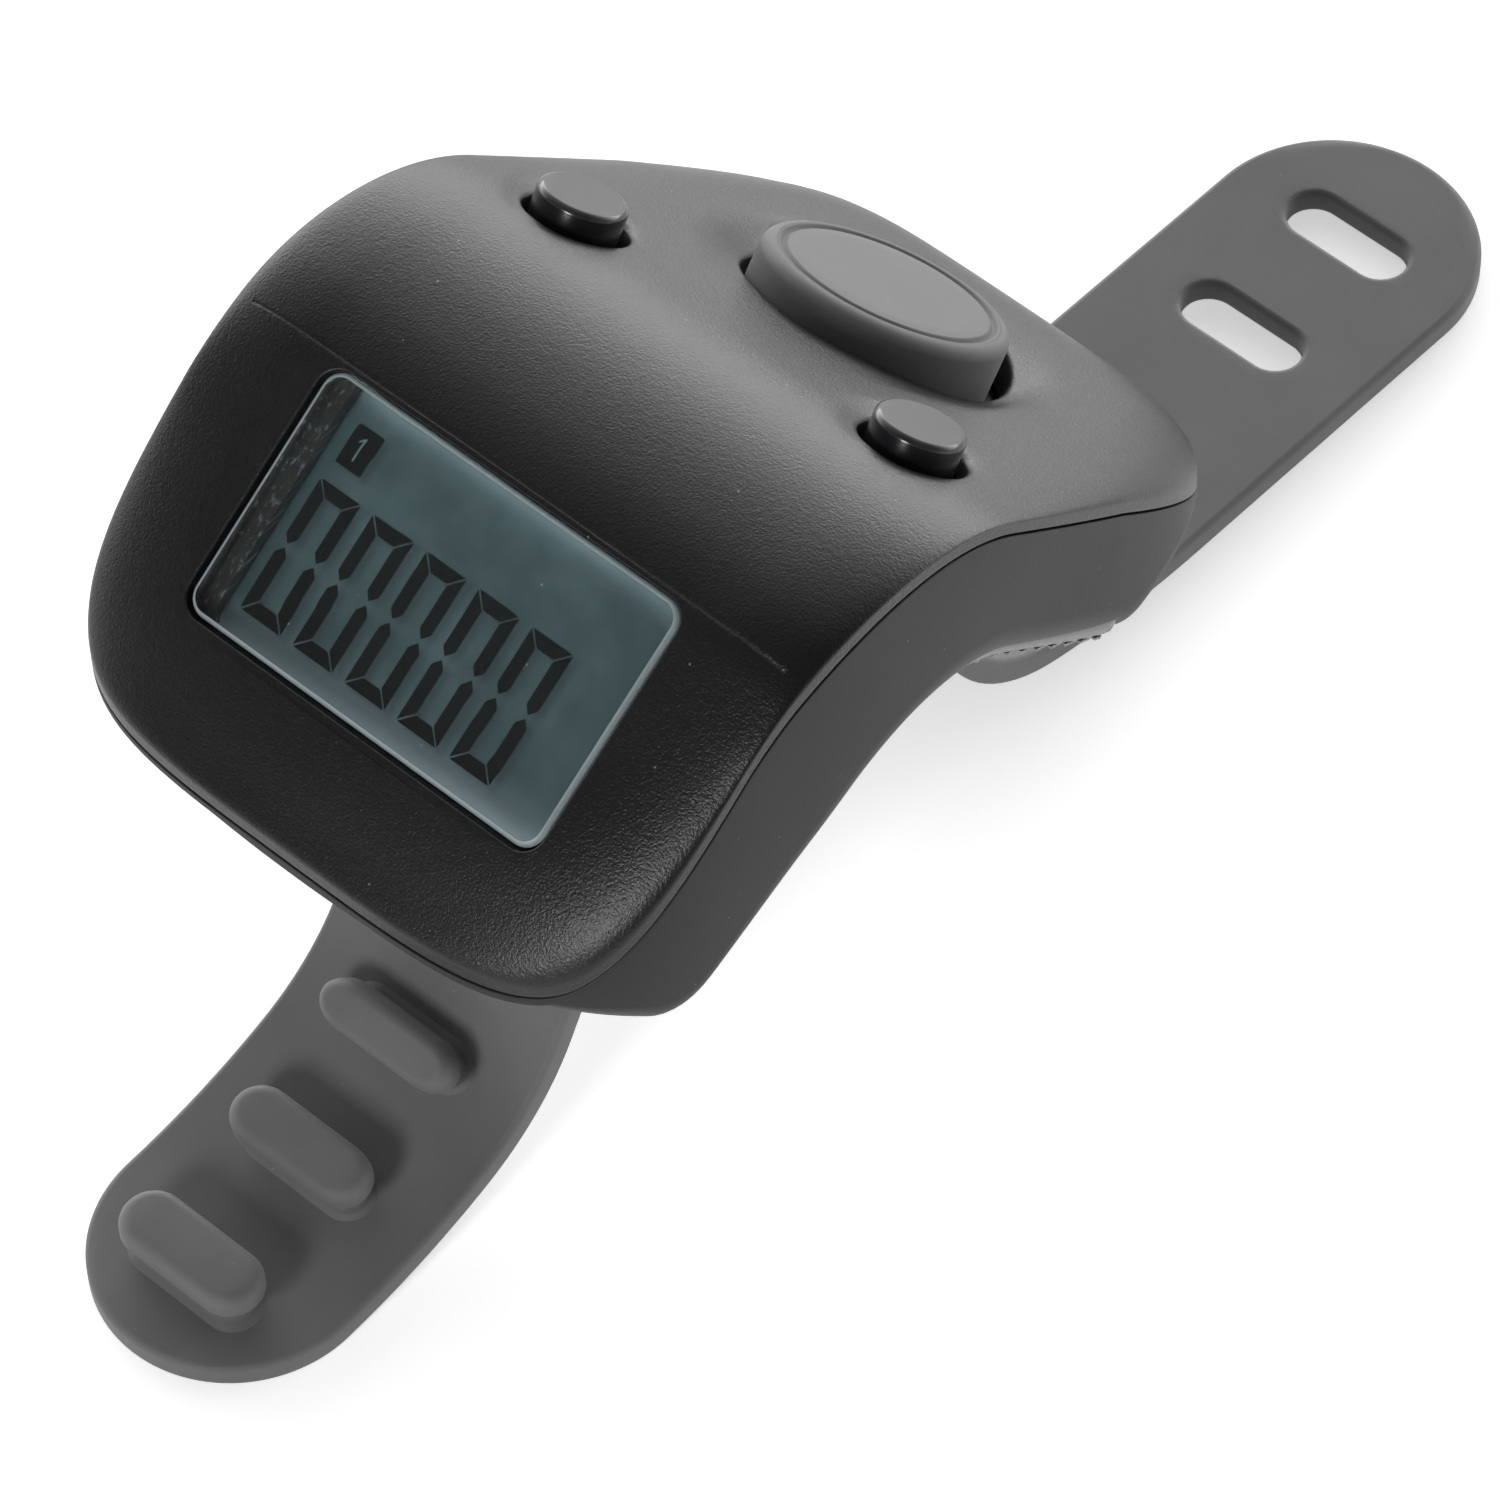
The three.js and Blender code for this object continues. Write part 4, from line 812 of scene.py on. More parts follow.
class Finishes:
    """Every finish of the counter."""

    def __init__(self) -> None:
        """Makes the materials."""
        fx = Effects()
        # The pale worn colours also paint the highlights on rounded edges, most strongly on the studs' domes
        # and the small buttons' rims.
        self.case = Moulded("case_black_plastic", "0e0e10", "2a2a2c", roughness=0.33, specular=0.42,
                            fineness=8500.0, relief=0.000026, wear_and_highlight=0.12, dust=0.35).build(fx)
        self.base = Moulded("base_black_plastic", "202022", "3c3c3e", roughness=0.5, specular=0.33,
                            fineness=7500.0, relief=0.000012, wear_and_highlight=0.2, dust=0.2).build(fx)
        self.glossy = Moulded("button_gloss_black", "1c1c1e", "5c5c5e", roughness=0.2, specular=0.5,
                              fineness=12000.0, relief=0.000002, wear_and_highlight=0.5, dust=0.3).build(fx)
        self.satin = Moulded("button_satin_black", "343436", "6c6c6e", roughness=0.5, specular=0.5,
                             fineness=12000.0, relief=0.000004, wear_and_highlight=0.6, dust=0.3).build(fx)
        self.button = Moulded("button_grey_silicone", "626262", "808080", roughness=0.62, specular=0.35,
                              fineness=11000.0, relief=0.000004, wear_and_highlight=0.3, dust=0.2, sheen=0.15).build(fx)
        self.strap = Moulded("strap_grey_silicone", "696969", "7c7c7c", roughness=0.6, specular=0.35,
                             fineness=10000.0, relief=0.000004, wear_and_highlight=0.35, dust=0.25, sheen=0.12).build(fx)
        self.stud = Moulded("stud_rubber", "3c3c3d", "a0a0a0", roughness=0.25, specular=0.5,
                            fineness=12000.0, relief=0.000002, wear_and_highlight=0.6, dust=0.0).build(fx)
        self.frame = Moulded("frame_dark", "1c1a18", "4c4c4e", roughness=0.3, specular=0.5,
                             fineness=9000.0, relief=0.000003, dust=0.2, streaks=0.7).build(fx)
        self.ink = Moulded("segment_ink", "0a0c0c", "0a0c0c", roughness=0.5, specular=0.1,
                           fineness=12000.0, relief=0.000001, wear_and_highlight=0.0, dust=0.2).build(fx)
        self.mark = Moulded("mark_pale", "5d6f72", "5d6f72", roughness=0.5, specular=0.2,
                            fineness=12000.0, relief=0.000001, wear_and_highlight=0.0, dust=0.0).build(fx)
        self.holder = Moulded("holder_white", "c9c9c4", "e0e0dc", roughness=0.5, relief=0.000003).build(fx)
        self.board = Moulded("board_green", "1d5231", "2f6b45", roughness=0.35, coat=0.4,
                             fineness=5200.0, relief=0.000004, cloud=0.25, wear_and_highlight=0.2).build(fx)
        self.rubber = Moulded("switch_black", "19191b", "3a3a3c", roughness=0.55, relief=0.000004).build(fx)
        self.flex = Moulded("flex_amber", "8f5718", "b57a35", roughness=0.3, coat=0.5, cloud=0.3).build(fx)
        self.steel = Metal("bright_steel", "bdbdc0").build(fx)
        self.window = ClearPlastic().build(fx)
        # The bevel's paler, less clear finish is a painted highlight: the bright line that light makes along
        # the window's rim.
        self.window_rim_highlight = ClearPlastic(
            "clear_acrylic_rim", "b9c6c9", roughness=(0.3, 0.5), clear=0.45
        ).build(fx)
        self.display = DisplayFace().build(fx)


@dataclass(frozen=True)
class Rounding:
    """How far a rounding reaches in from the outline and how far it falls, at the sides and the ends."""

    side: tuple[float, float]
    front: tuple[float, float]
    rear: tuple[float, float]


@dataclass(frozen=True)
class CaseForm:
    """The case's form, with the source's own sizes."""

    front_y: float = -9.1
    rear_y: float = 36.0
    half_width: float = 15.6
    tail_half_width: float = 13.95
    widest_y: float = 5.5
    nose_spread: float = 0.014
    front_squareness: float = 3.85
    rear_squareness: float = 4.8
    wall: float = 1.5
    split_gap: float = 0.18
    lip: float = 0.35
    display_height: float = 30.2
    display_tilt: float = FORM_TILT
    brow_y: float = 5.9
    brow_round: float = 8.0
    crest_round: float = 15.2
    crest_slope: float = 1.1
    button_slope: float = 37.5
    main_seat: tuple[float, float] = (26.63, 24.42)
    crown: float = 0.15
    flare: float = 2.8
    split_corners: tuple[tuple[float, float, float], ...] = (
        (-12.1, 22.4, 0), (-7.6, 22.4, 4), (10.1, 36.8, 13), (26.0, 22.95, 10),
        (36.0, 13.2, 0), (39.0, 10.3, 0),
    )
    underside_corners: tuple[tuple[float, float, float], ...] = (
        (-12.1, 24.3, 0), (-2.2, 14.7, 2.5), (13.9, 22.5, 10.3), (26.9, 11.3, 2.2), (39.0, 11.5, 0),
    )
    top_rounding: Rounding = Rounding((4.2, 3.2), (4.2, 1.6), (2.6, 2.0))
    inner_rounding: Rounding = Rounding((1.5, 0.9), (2.5, 0.9), (0.9, 1.02))
    under_rounding: Rounding = Rounding((2.3, -2.3), (2.3, -0.3), (3.2, -3.0))

    def top_corners(self) -> list[tuple[float, float, float]]:
        """Side profile of the top: the display slope, the brow, the crest and the back slope."""
        rise = math.tan(math.radians(self.display_tilt))
        crest = math.tan(math.radians(self.crest_slope))
        fall = math.tan(math.radians(self.button_slope))
        brow_z = self.display_height + rise * self.brow_y
        seat_y, seat_z = self.main_seat
        crest_y = (seat_z + fall * seat_y - brow_z + crest * self.brow_y) / (fall + crest)
        front, rear = self.front_y - 3, self.rear_y + 3
        return [
            (front, self.display_height + rise * front, 0),
            (self.brow_y, brow_z, self.brow_round),
            (crest_y, brow_z + crest * (crest_y - self.brow_y), self.crest_round),
            (rear, seat_z - fall * (rear - seat_y), 0),
        ]

    def width_at(self, y: Array) -> Array:
        """Half width: grows by the square of the distance in front of the widest place, eases behind it."""
        ahead = self.half_width + self.nose_spread * (y - self.widest_y) ** 2
        along = np.clip((y - self.widest_y) / (self.rear_y - self.widest_y), 0, 1)
        ease = 0.5 - 0.5 * np.cos(np.pi * along)
        behind = self.half_width + (self.tail_half_width - self.half_width) * ease
        return np.where(y < self.widest_y, ahead, behind)

    def squareness(self, y: Array) -> Array:
        """Exponent of the outline's superellipse, by which end a place is nearer to."""
        return np.where(y < (self.front_y + self.rear_y) / 2, self.front_squareness, self.rear_squareness)

    def spread(self, across: Array, along: Array, inset: float) -> tuple[Array, Array]:
        """Draws a square grid in to the rounded outline.

        A grid point moves towards the middle by max(|a|, |b|) / (|a|^n + |b|^n)^(1/n).

        Args:
            across: Stations from -1 to 1 over the width.
            along: Stations from -1 to 1 over the length.
            inset: How far the outline is drawn in.

        Returns:
            x and y of each point.
        """
        power = np.where(along < 0, self.front_squareness, self.rear_squareness)
        reach = np.maximum(np.abs(across), np.abs(along))
        total = np.maximum(np.abs(across) ** power + np.abs(along) ** power, 1e-12)
        pull = reach / total ** (1 / power)
        half_length = (self.rear_y - self.front_y) / 2 - inset
        y = (self.front_y + self.rear_y) / 2 + along * pull * half_length
        return across * pull * (self.width_at(y) - inset), y

    def fall(
        self, x: Array, y: Array, rounding: Rounding, inset: float = 0.0, room: Array | None = None
    ) -> Array:
        """How far a rounding has fallen at a place.

        The place's reach is the outline's own norm, (s^n + t^n)^(1/n); over the outer band it falls as a
        quarter ellipse does.

        Args:
            x: Places.
            y: Places.
            rounding: The rounding's bands and drops.
            inset: How far the outline is drawn in.
            room: The most that it may fall at each place, if that is limited.

        Returns:
            The fall at each place.
        """
        power = self.squareness(y)
        half_length = (self.rear_y - self.front_y) / 2 - inset
        half_width = self.width_at(y) - inset
        offset = y - (self.front_y + self.rear_y) / 2
        s = (np.abs(x) / half_width) ** power
        t = (np.abs(offset) / half_length) ** power
        reach = (s + t) ** (1 / power)
        share = s / np.maximum(s + t, 1e-12)
        end_band = np.where(offset < 0, rounding.front[0], rounding.rear[0])
        end_drop = np.where(offset < 0, rounding.front[1], rounding.rear[1])
        band = share * rounding.side[0] / half_width + (1 - share) * end_band / half_length
        drop = share * rounding.side[1] + (1 - share) * end_drop
        if room is not None:
            drop = np.minimum(drop, np.maximum(room, 0.2))
        into = np.clip((reach - 1 + band) / band, 0, 1)
        return drop * (1 - np.sqrt(1 - into * into))


@dataclass(frozen=True)
class Scoop:
    """A soft hollow round a button, deepest beside the hole's ends."""

    x: float
    y: float
    slope: float
    inner: float
    reach: float
    depth: float
    ends_only: float

    def depth_at(self, x: Array, y: Array) -> Array:
        """Depth at a place.

        With r the distance from the button's axis along the slope, the depth is full up to the inner radius
        and then falls as a raised cosine over the reach; where only the ends count, it is multiplied by the
        sine's power of the direction, |x / r| ** ends_only.

        Args:
            x: Places.
            y: Places.

        Returns:
            The depth at each place.
        """
        across = x - self.x
        along = (y - self.y) / math.cos(math.radians(self.slope))
        r = np.maximum(np.hypot(across, along), 1e-6)
        out = np.clip((r - self.inner) / self.reach, 0, 1)
        fade = 0.5 + 0.5 * np.cos(np.pi * out)
        return self.depth * fade * np.abs(across / r) ** self.ends_only


class Case:
    """The two covers of the case."""

    edge: float = 0.06  # rounding along the line between the covers

    def __init__(self, form: CaseForm) -> None:
        """Works the paths out once."""
        self.form = form
        self.top_path = rounded_path(form.top_corners())
        self.split_path = rounded_path(form.split_corners)
        self.under_path = rounded_path(form.underside_corners)

    def split(self, x: Array, y: Array) -> Array:
        """Height of the line between the covers."""
        return height_on(self.split_path, y)

    def beside_split(self, away: float, x: Array, y: Array) -> Array:
        """A height a little above or below the line between the covers."""
        return self.split(x, y) + away

    def crowned(self, x: Array, y: Array) -> Array:
        """Height of the top before its rounding: the side profile, less a crown of x squared."""
        return height_on(self.top_path, y) - self.form.crown * (x / self.form.half_width) ** 2

    def top(self, x: Array, y: Array) -> Array:
        """Height of the case's top, with its rounding and the soft scoops beside its buttons."""
        crowned, least = self.crowned(x, y), self.split(x, y) + 2 * self.form.lip
        rounded = crowned - self.form.fall(x, y, self.form.top_rounding, room=crowned - least)
        return np.maximum(rounded - sum(scoop.depth_at(x, y) for scoop in SCOOPS), least)

    def flared(self, x: Array, y: Array) -> Array:
        """Height of the underside before its rounding: the side profile, plus a flare of x squared."""
        return height_on(self.under_path, y) + self.form.flare * (x / self.form.half_width) ** 2

    def underside(self, x: Array, y: Array) -> Array:
        """Height of the case's underside, with its rounding."""
        rounded = self.flared(x, y) - self.form.fall(x, y, self.form.under_rounding)
        return np.minimum(rounded, self.split(x, y) - self.form.split_gap - self.form.lip)

    def grid(self, counts: tuple[int, int, int, int]) -> tuple[Array, Array]:
        """Stations over the width and the length, as two grids."""
        return np.meshgrid(stations(*counts[:2]), stations(*counts[2:]))

    def layer(self, grid: tuple[Array, Array], inset: float, height: HeightField) -> Array:
        """One height field over the outline, as a grid of points."""
        x, y = self.form.spread(*grid, inset)
        return np.stack([x, y, height(x, y)], -1)

    def attached(self, seat: Seat, ring: Array, height: float) -> Array:
        """A ring in a seat's x and y, at a height above the case's real surface there.

        The point goes to the seat's plane, then up or down by how far the surface lies from it.

        Args:
            seat: The seat.
            ring: Points in its x and y.
            height: Height above the surface, along the seat's normal.

        Returns:
            The points in the part.
        """
        flat = seat.place(ring_at(ring, 0.0))
        drop = self.top(flat[:, 0], flat[:, 1]) - flat[:, 2]
        placed = seat.place(ring_at(ring, height))
        placed[:, 2] += drop
        return placed


# The display's, the buttons' and the button board's seats.
FORM = CaseForm()
DISPLAY = Seat(0, 0, FORM.display_height, FORM.display_tilt)
MAIN = Seat(0, *FORM.main_seat, -38.7)
SMALL_Y, SMALL_Z, SMALL_SLOPE = 18.64, 30.5, 33.5
SMALL_SEATS = {
    "left": Seat(-9.3, SMALL_Y, SMALL_Z, -SMALL_SLOPE),
    "right": Seat(9.3, SMALL_Y, SMALL_Z, -SMALL_SLOPE),
}
SCOOPS = (
    Scoop(0, FORM.main_seat[0], 38.7, 6.1, 2.5, 0.95, 4.0),
    Scoop(-9.6, SMALL_Y, SMALL_SLOPE, 2.3, 1.0, 0.25, 1.0),
    Scoop(9.0, SMALL_Y, SMALL_SLOPE, 2.3, 1.0, 0.25, 1.0),
)
BOARD_SLOPE = math.degrees(math.atan2(SMALL_Z - FORM.main_seat[1], FORM.main_seat[0] - SMALL_Y))
BOARD = Seat(0, *FORM.main_seat, -BOARD_SLOPE)

# The screws: places of the cover's ones, their radii, and how far below the split line their heads sit.
COVER_SCREWS = ((-7.5, -6.3), (7.5, -6.3), (-8.8, 30.0), (8.8, 30.0))
POST_RADIUS, BOSS_RADIUS, SCREW_HOLE, SCREW_HEAD = 1.5, 2.0, 1.05, 1.6
SCREW_SEAT = 2.4


@dataclass(frozen=True)
class BoardPost:
    """A board's pair of screw posts: the seat, the heights of post and hole, and the place in the seat."""

    seat: Seat
    ends: tuple[float, float]
    hole: tuple[float, float]
    x: float
    y: float


BOARD_POSTS = (
    BoardPost(DISPLAY, (-5.05, -0.75), (-6.0, -3.0), 8.95, 8.55),
    BoardPost(BOARD, (-4.75, -0.75), (-6.0, -2.9), 8.56, -0.2),
)


@dataclass
class TopCover:
    """The upper cover: display opening, button seats, posts, bosses and the mould's witness line."""

    case: Case
    window: tuple[float, float, float] = (19.66, 11.86, 1.13)
    window_hole: tuple[float, float, float] = (19.3, 11.5, 0.9)
    window_depth: float = 1.35
    window_edge: float = 0.09
    main_hole: float = 5.96
    main_dish: float = 6.18
    small_hole: float = 2.12
    small_dish: float = 2.42
    dish_depth: float = 1.1
    line_y: float = 5.2
    line_depth: float = 0.05
    line_width: float = 0.2

    def shell(self) -> Surface:
        """The outer body: the top surface, the side wall and a rounded lower edge."""
        case = self.case
        grid = case.grid((30, 18, 120, 18))
        layers = [case.layer(grid, 0, case.top)]
        layers.append(case.layer(grid, 0, lambda x, y: case.top(x, y) - 0.12))
        layers.append(case.layer(grid, 0, lambda x, y: case.split(x, y) + case.edge + 0.1))
        for out, up in fillet(case.edge, 0, -90, 4):
            height = partial(case.beside_split, up + case.edge)
            layers.append(case.layer(grid, case.edge - out, height))
        return closed_layers(layers)

    def hollow(self) -> Surface:
        """The room inside the cover."""
        case, form = self.case, self.case.form
        lid = form.wall / math.cos(math.radians(form.button_slope))
        grid = case.grid((8, 5, 20, 5))
        upper = case.layer(
            grid,
            form.wall,
            lambda x, y: case.crowned(x, y) - lid - form.fall(x, y, form.inner_rounding, form.wall),
        )
        return closed_layers([upper, case.layer(grid, form.wall, lambda x, y: case.split(x, y) - 2)])

    def opening(self, seat: Seat, hole: float, dish: float, edge: float) -> Surface:
        """Cutter of a button's hole: a straight hole, a dish and a rounded rim that follows the surface."""
        slope = math.atan2(self.dish_depth, dish - hole)
        arc = np.linspace(slope, math.radians(CROSSING), 7)
        reach = edge * math.tan(slope / 2)
        rim = [(dish + reach - edge * math.sin(a), -edge + edge * math.cos(a)) for a in arc]
        out, up = rim[-1]
        profile = [(hole, -4.0), (hole, -self.dish_depth - 0.12), (hole + 0.03, -self.dish_depth - 0.03)]
        profile += [(hole + 0.08, -self.dish_depth + 0.08), *rim]
        profile += [(out + 0.4, up + 0.4 * math.tan(math.radians(CROSSING))), (out + 0.4, 3.0)]
        return lofted([self.case.attached(seat, circle(r, 120), h) for r, h in profile])

    def window_cuts(self) -> list[Surface]:
        """Cutters of the window's recess, with a rounded rim, and of the hole below it."""
        width, height, corner = self.window
        profile = [(0.0, -self.window_depth), *flared(self.window_edge)]
        rings = [
            self.case.attached(DISPLAY, rounded_rectangle(width + 2 * o, height + 2 * o, corner + o, 12), h)
            for o, h in profile
        ]
        hole = rounded_rectangle(*self.window_hole)
        deep = lofted([DISPLAY.place(ring_at(hole, h)) for h in (-3.2, -0.6)])
        return [lofted(rings), deep]

    def witness_line(self) -> Surface:
        """A thin blade across the brow, its edge a little below the surface, seen as the mould's line."""
        x = np.linspace(-14.6, 14.6, 90)
        half, above = self.line_width / 2, self.line_depth
        rings = []
        for dy, dz in ((-2 * half, above), (0, -self.line_depth), (2 * half, above)):
            y = np.full_like(x, self.line_y + dy)
            rings.append(np.stack([x, y, self.case.top(x, y) + dz], 1))
        return lofted(list(np.stack(rings, 1)))

    def posts(self) -> list[Surface]:
        """Posts that the board screws bite into, and bosses over the cover screws."""
        case = self.case
        bodies = []
        for side in (-1, 1):
            for post in BOARD_POSTS:
                bodies.append(placed_disc(post.seat, POST_RADIUS, *post.ends, side * post.x, post.y))
        for x, y in COVER_SCREWS:
            low = float(case.split(x, y)) + 0.25
            high = float(height_on(case.top_path, y)) - case.form.wall
            bodies.append(placed_disc(UPRIGHT, POST_RADIUS, low, high, x, y))
        return bodies

    def screw_holes(self) -> list[Surface]:
        """Holes in the posts and bosses."""
        case = self.case
        bodies = []
        for side in (-1, 1):
            for post in BOARD_POSTS:
                bodies.append(placed_disc(post.seat, SCREW_HOLE, *post.hole, side * post.x, post.y))
        for x, y in COVER_SCREWS:
            low = float(case.split(x, y)) - SCREW_SEAT
            bodies.append(placed_disc(UPRIGHT, SCREW_HOLE, low, low + 3.3, x, y))
        return bodies

    def build(self, place: Place) -> bpy.types.Object:
        """Makes the cover."""
        obj = make_object("top_cover_shell", self.shell())
        changes = [(Cut.AWAY, self.hollow())]
        changes += [(Cut.ONTO, body) for body in self.posts()]
        changes.append((Cut.WITHIN, self.shell()))
        changes += [(Cut.AWAY, body) for body in self.screw_holes()]
        changes += [(Cut.AWAY, body) for body in self.window_cuts()]
        changes.append((Cut.AWAY, self.opening(MAIN, self.main_hole, self.main_dish, 0.3)))
        for seat in SMALL_SEATS.values():
            changes.append((Cut.AWAY, self.opening(seat, self.small_hole, self.small_dish, 0.3)))
        changes.append((Cut.AWAY, self.witness_line()))
        carve(obj, changes)
        place.settle(obj)
        return obj


def placed_disc(seat: Seat, radius: float, low: float, high: float, x: float, y: float) -> Surface:
    """A round peg on a seat's normal, between two heights, at a place in the seat."""
    ring = circle(radius, 40) + np.array([x, y])
    return lofted([seat.place(ring_at(ring, low)), seat.place(ring_at(ring, high))])


@dataclass
class BottomCover:
    """The lower cover with the arch that sits on the finger, its bosses and the strap's anchor holes."""

    case: Case
    anchor_hole: tuple[float, float] = (6.9, 2.5)

    def shell(self) -> Surface:
        """The outer body: a rounded upper edge, the side wall and the arched, flared underside."""
        case, gap = self.case, self.case.form.split_gap
        grid = case.grid((22, 14, 56, 14))
        layers = []
        for out, up in fillet(case.edge, 90, 0, 4):
            height = partial(case.beside_split, up - gap - case.edge)
            layers.append(case.layer(grid, case.edge - out, height))
        layers.append(case.layer(grid, 0, lambda x, y: case.underside(x, y) + 0.05))
        layers.append(case.layer(grid, 0, case.underside))
        return closed_layers(layers)

    def hollow(self) -> Surface:
        """The room inside the cover."""
        case, form = self.case, self.case.form
        grid = case.grid((8, 5, 20, 5))
        floor = case.layer(grid, form.wall, self.floor_height)
        return closed_layers([case.layer(grid, form.wall, lambda x, y: case.split(x, y) + 2), floor])

    def floor_height(self, x: Array, y: Array) -> Array:
        """Height of the inside floor: the underside plus the wall, below the split line at the ends."""
        case, form = self.case, self.case.form
        raised = case.flared(x, y) + form.wall * FLOOR_SHARE
        raised -= form.fall(x, y, form.under_rounding, form.wall)
        return np.minimum(raised, case.split(x, y) + 1.9)

    def build(self, place: Place) -> bpy.types.Object:
        """Makes the cover."""
        case = self.case
        obj = make_object("bottom_cover_shell", self.shell())
        changes = [(Cut.AWAY, self.hollow())]
        for x, y in COVER_SCREWS:
            low = float(case.underside(np.array(x), np.array(y))) - 1.0
            high = float(case.split(x, y)) - case.form.split_gap
            changes.append((Cut.ONTO, placed_disc(UPRIGHT, BOSS_RADIUS, low, high, x, y)))
        changes.append((Cut.WITHIN, self.shell()))
        for x, y in COVER_SCREWS:
            seat_z = float(case.split(x, y)) - SCREW_SEAT
            changes.append((Cut.AWAY, placed_disc(UPRIGHT, SCREW_HOLE, seat_z - 1, seat_z + 9, x, y)))
            changes.append((Cut.AWAY, placed_disc(UPRIGHT, SCREW_HEAD, seat_z - 12, seat_z, x, y)))
        ring = rounded_rectangle(*self.anchor_hole, self.anchor_hole[1] / 2)
        for side in (-1, 1):
            moved = ring + np.array([0, STRAP.arch_centre[0] + side * STRAP.anchor_offset])
            changes.append((Cut.AWAY, lofted([ring_at(moved, 16.0), ring_at(moved, 26.0)])))
        carve(obj, changes)
        place.settle(obj)
        return obj


@dataclass
class Studs:
    """Rows of small rubber studs on the flared parts of the underside, beside the strap's bed."""

    case: Case
    pitch: float = 0.46
    radius: float = 0.16
    height: float = 0.2
    inner_x: float = 7.2
    outer_x: float = 13.6
    from_y: float = 1.5
    to_y: float = 25.5
    pad: float = 0.5
    sunk: float = 0.08  # how deep a stud's foot lies in the pad
    segments: int = 8
    rings: int = 3

    def build(self, place: Place) -> bpy.types.Object:
        """Makes all studs as one mesh: each is a dome whose rings shrink as the cosine of their height."""
        xs = np.arange(self.inner_x, self.outer_x, self.pitch)
        ys = np.arange(self.from_y, self.to_y, self.pitch)
        x, y = np.meshgrid(np.concatenate([-xs[::-1], xs]), ys)
        x = x + np.where(np.arange(len(ys)) % 2 == 0, 0.0, self.pitch / 2)[:, None] * np.sign(x)
        x, y = x.ravel(), y.ravel()
        base = np.stack([x, y, self.case.underside(x, y) - self.pad], 1)
        points = []
        lifts = np.radians(np.linspace(0, 68, self.rings))
        for lift in lifts:
            z = self.sunk - (self.height + self.sunk) * math.sin(lift) / math.sin(lifts[-1])
            ring = ring_at(circle(self.radius * math.cos(lift), self.segments), z)
            points.append(base[:, None, :] + ring[None])
        tip = base - np.array([0, 0, self.height + 0.01])
        foot = base + np.array([0, 0, self.sunk])
        block = np.concatenate([*points, tip[:, None], foot[:, None]], 1)
        each, local = block.shape[1], self.stud_faces()
        faces = [tuple(v + stud * each for v in face) for stud in range(len(base)) for face in local]
        studs = Surface(block.reshape(-1, 3), faces)
        obj = make_object("underside_studs", studs.joined(self.sheet(-1)).joined(self.sheet(1)))
        place.settle(obj, math.radians(60))
        return obj

    def stud_faces(self) -> list[tuple[int, ...]]:
        """Faces of one stud: quads between its rings, and fans to its tip and its foot."""
        around, last = self.segments, (self.rings - 1) * self.segments
        tip, foot = last + around, last + around + 1
        faces: list[tuple[int, ...]] = []
        for i in range(around):
            j = (i + 1) % around
            for k in range(0, last, around):
                faces.append((k + j, k + i, k + around + i, k + around + j))
            faces += [(last + j, last + i, tip), (i, j, foot)]
        return faces

    def sheet(self, side: int) -> Surface:
        """The thin rubber sheet under one side's studs, thinner towards its rim."""
        margin, inside = 0.4, 0.06
        inner, outer = self.inner_x - margin, self.outer_x + 0.45
        xs = side * np.linspace(inner, outer, 24)[::side]
        x, y = np.meshgrid(xs, np.linspace(self.from_y - margin, self.to_y + margin, 80))
        under = self.case.underside(x, y)
        rim = np.minimum(np.abs(x) - inner, outer - np.abs(x))
        ends = np.minimum(y - self.from_y + margin, self.to_y + margin - y)
        thick = self.pad * np.clip(np.minimum(rim, ends) / margin, 0, 1) ** 0.5
        return closed_layers([np.stack([x, y, under + inside], -1), np.stack([x, y, under - thick], -1)])


@dataclass
class Window:
    """The clear window with its rounded upper rim."""

    width: float = 19.4
    height: float = 11.6
    corner: float = 1.0
    sunk: float = 0.15
    thick: float = 1.0
    bevel: float = 0.3

    def build(self, place: Place) -> bpy.types.Object:
        """Makes the window: rings of its outline, drawn in over the rim."""
        top = -self.sunk
        profile = [(0.06, top - self.thick), (0.0, top - self.thick + 0.06)]
        profile += [(self.bevel - out, top - self.bevel + up) for out, up in fillet(self.bevel, 0, 90, 6)]
        rings = [DISPLAY.place(ring_at(self.outline(inset), height)) for inset, height in profile]
        obj = make_object("clear_window", lofted(rings))
        place.settle(obj)
        return obj

    def outline(self, inset: float) -> Array:
        """The window's outline, drawn in by an inset."""
        corner = max(self.corner - inset, 0.15)
        return rounded_rectangle(self.width - 2 * inset, self.height - 2 * inset, corner, 12)


@dataclass
class DisplayFrame:
    """The frame round the display's glass, with a narrow lip over its edge."""

    outer: tuple[float, float] = (21.7, 12.7)
    pocket: tuple[float, float] = (20.9, 11.9)
    view: tuple[float, float] = (18.62, 11.62)
    view_shift: float = 0.41
    levels: tuple[float, float, float] = (-5.15, -2.35, -1.75)
    shift: float = -0.3

    def build(self, place: Place) -> bpy.types.Object:
        """Makes the frame: a block less the glass's pocket and the opening."""
        low, lip, high = self.levels
        obj = make_object("display_bezel", self.block(self.outer, 0.4, low, high, self.shift))
        pocket = self.block(self.pocket, 0.2, low - 1, lip, self.shift)
        view = self.block(self.view, 0.5, low - 1, high + 1, 0.0, self.view_shift)
        carve(obj, [(Cut.AWAY, pocket), (Cut.AWAY, view)])
        place.settle(obj)
        return obj

    @staticmethod
    def block(
        size: tuple[float, float], corner: float, low: float, high: float, y: float, x: float = 0
    ) -> Surface:
        """A block with round corners in the display's seat."""
        ring = rounded_rectangle(*size, corner, 6) + np.array([x, y])
        return lofted([DISPLAY.place(ring_at(ring, level)) for level in (low, high)])


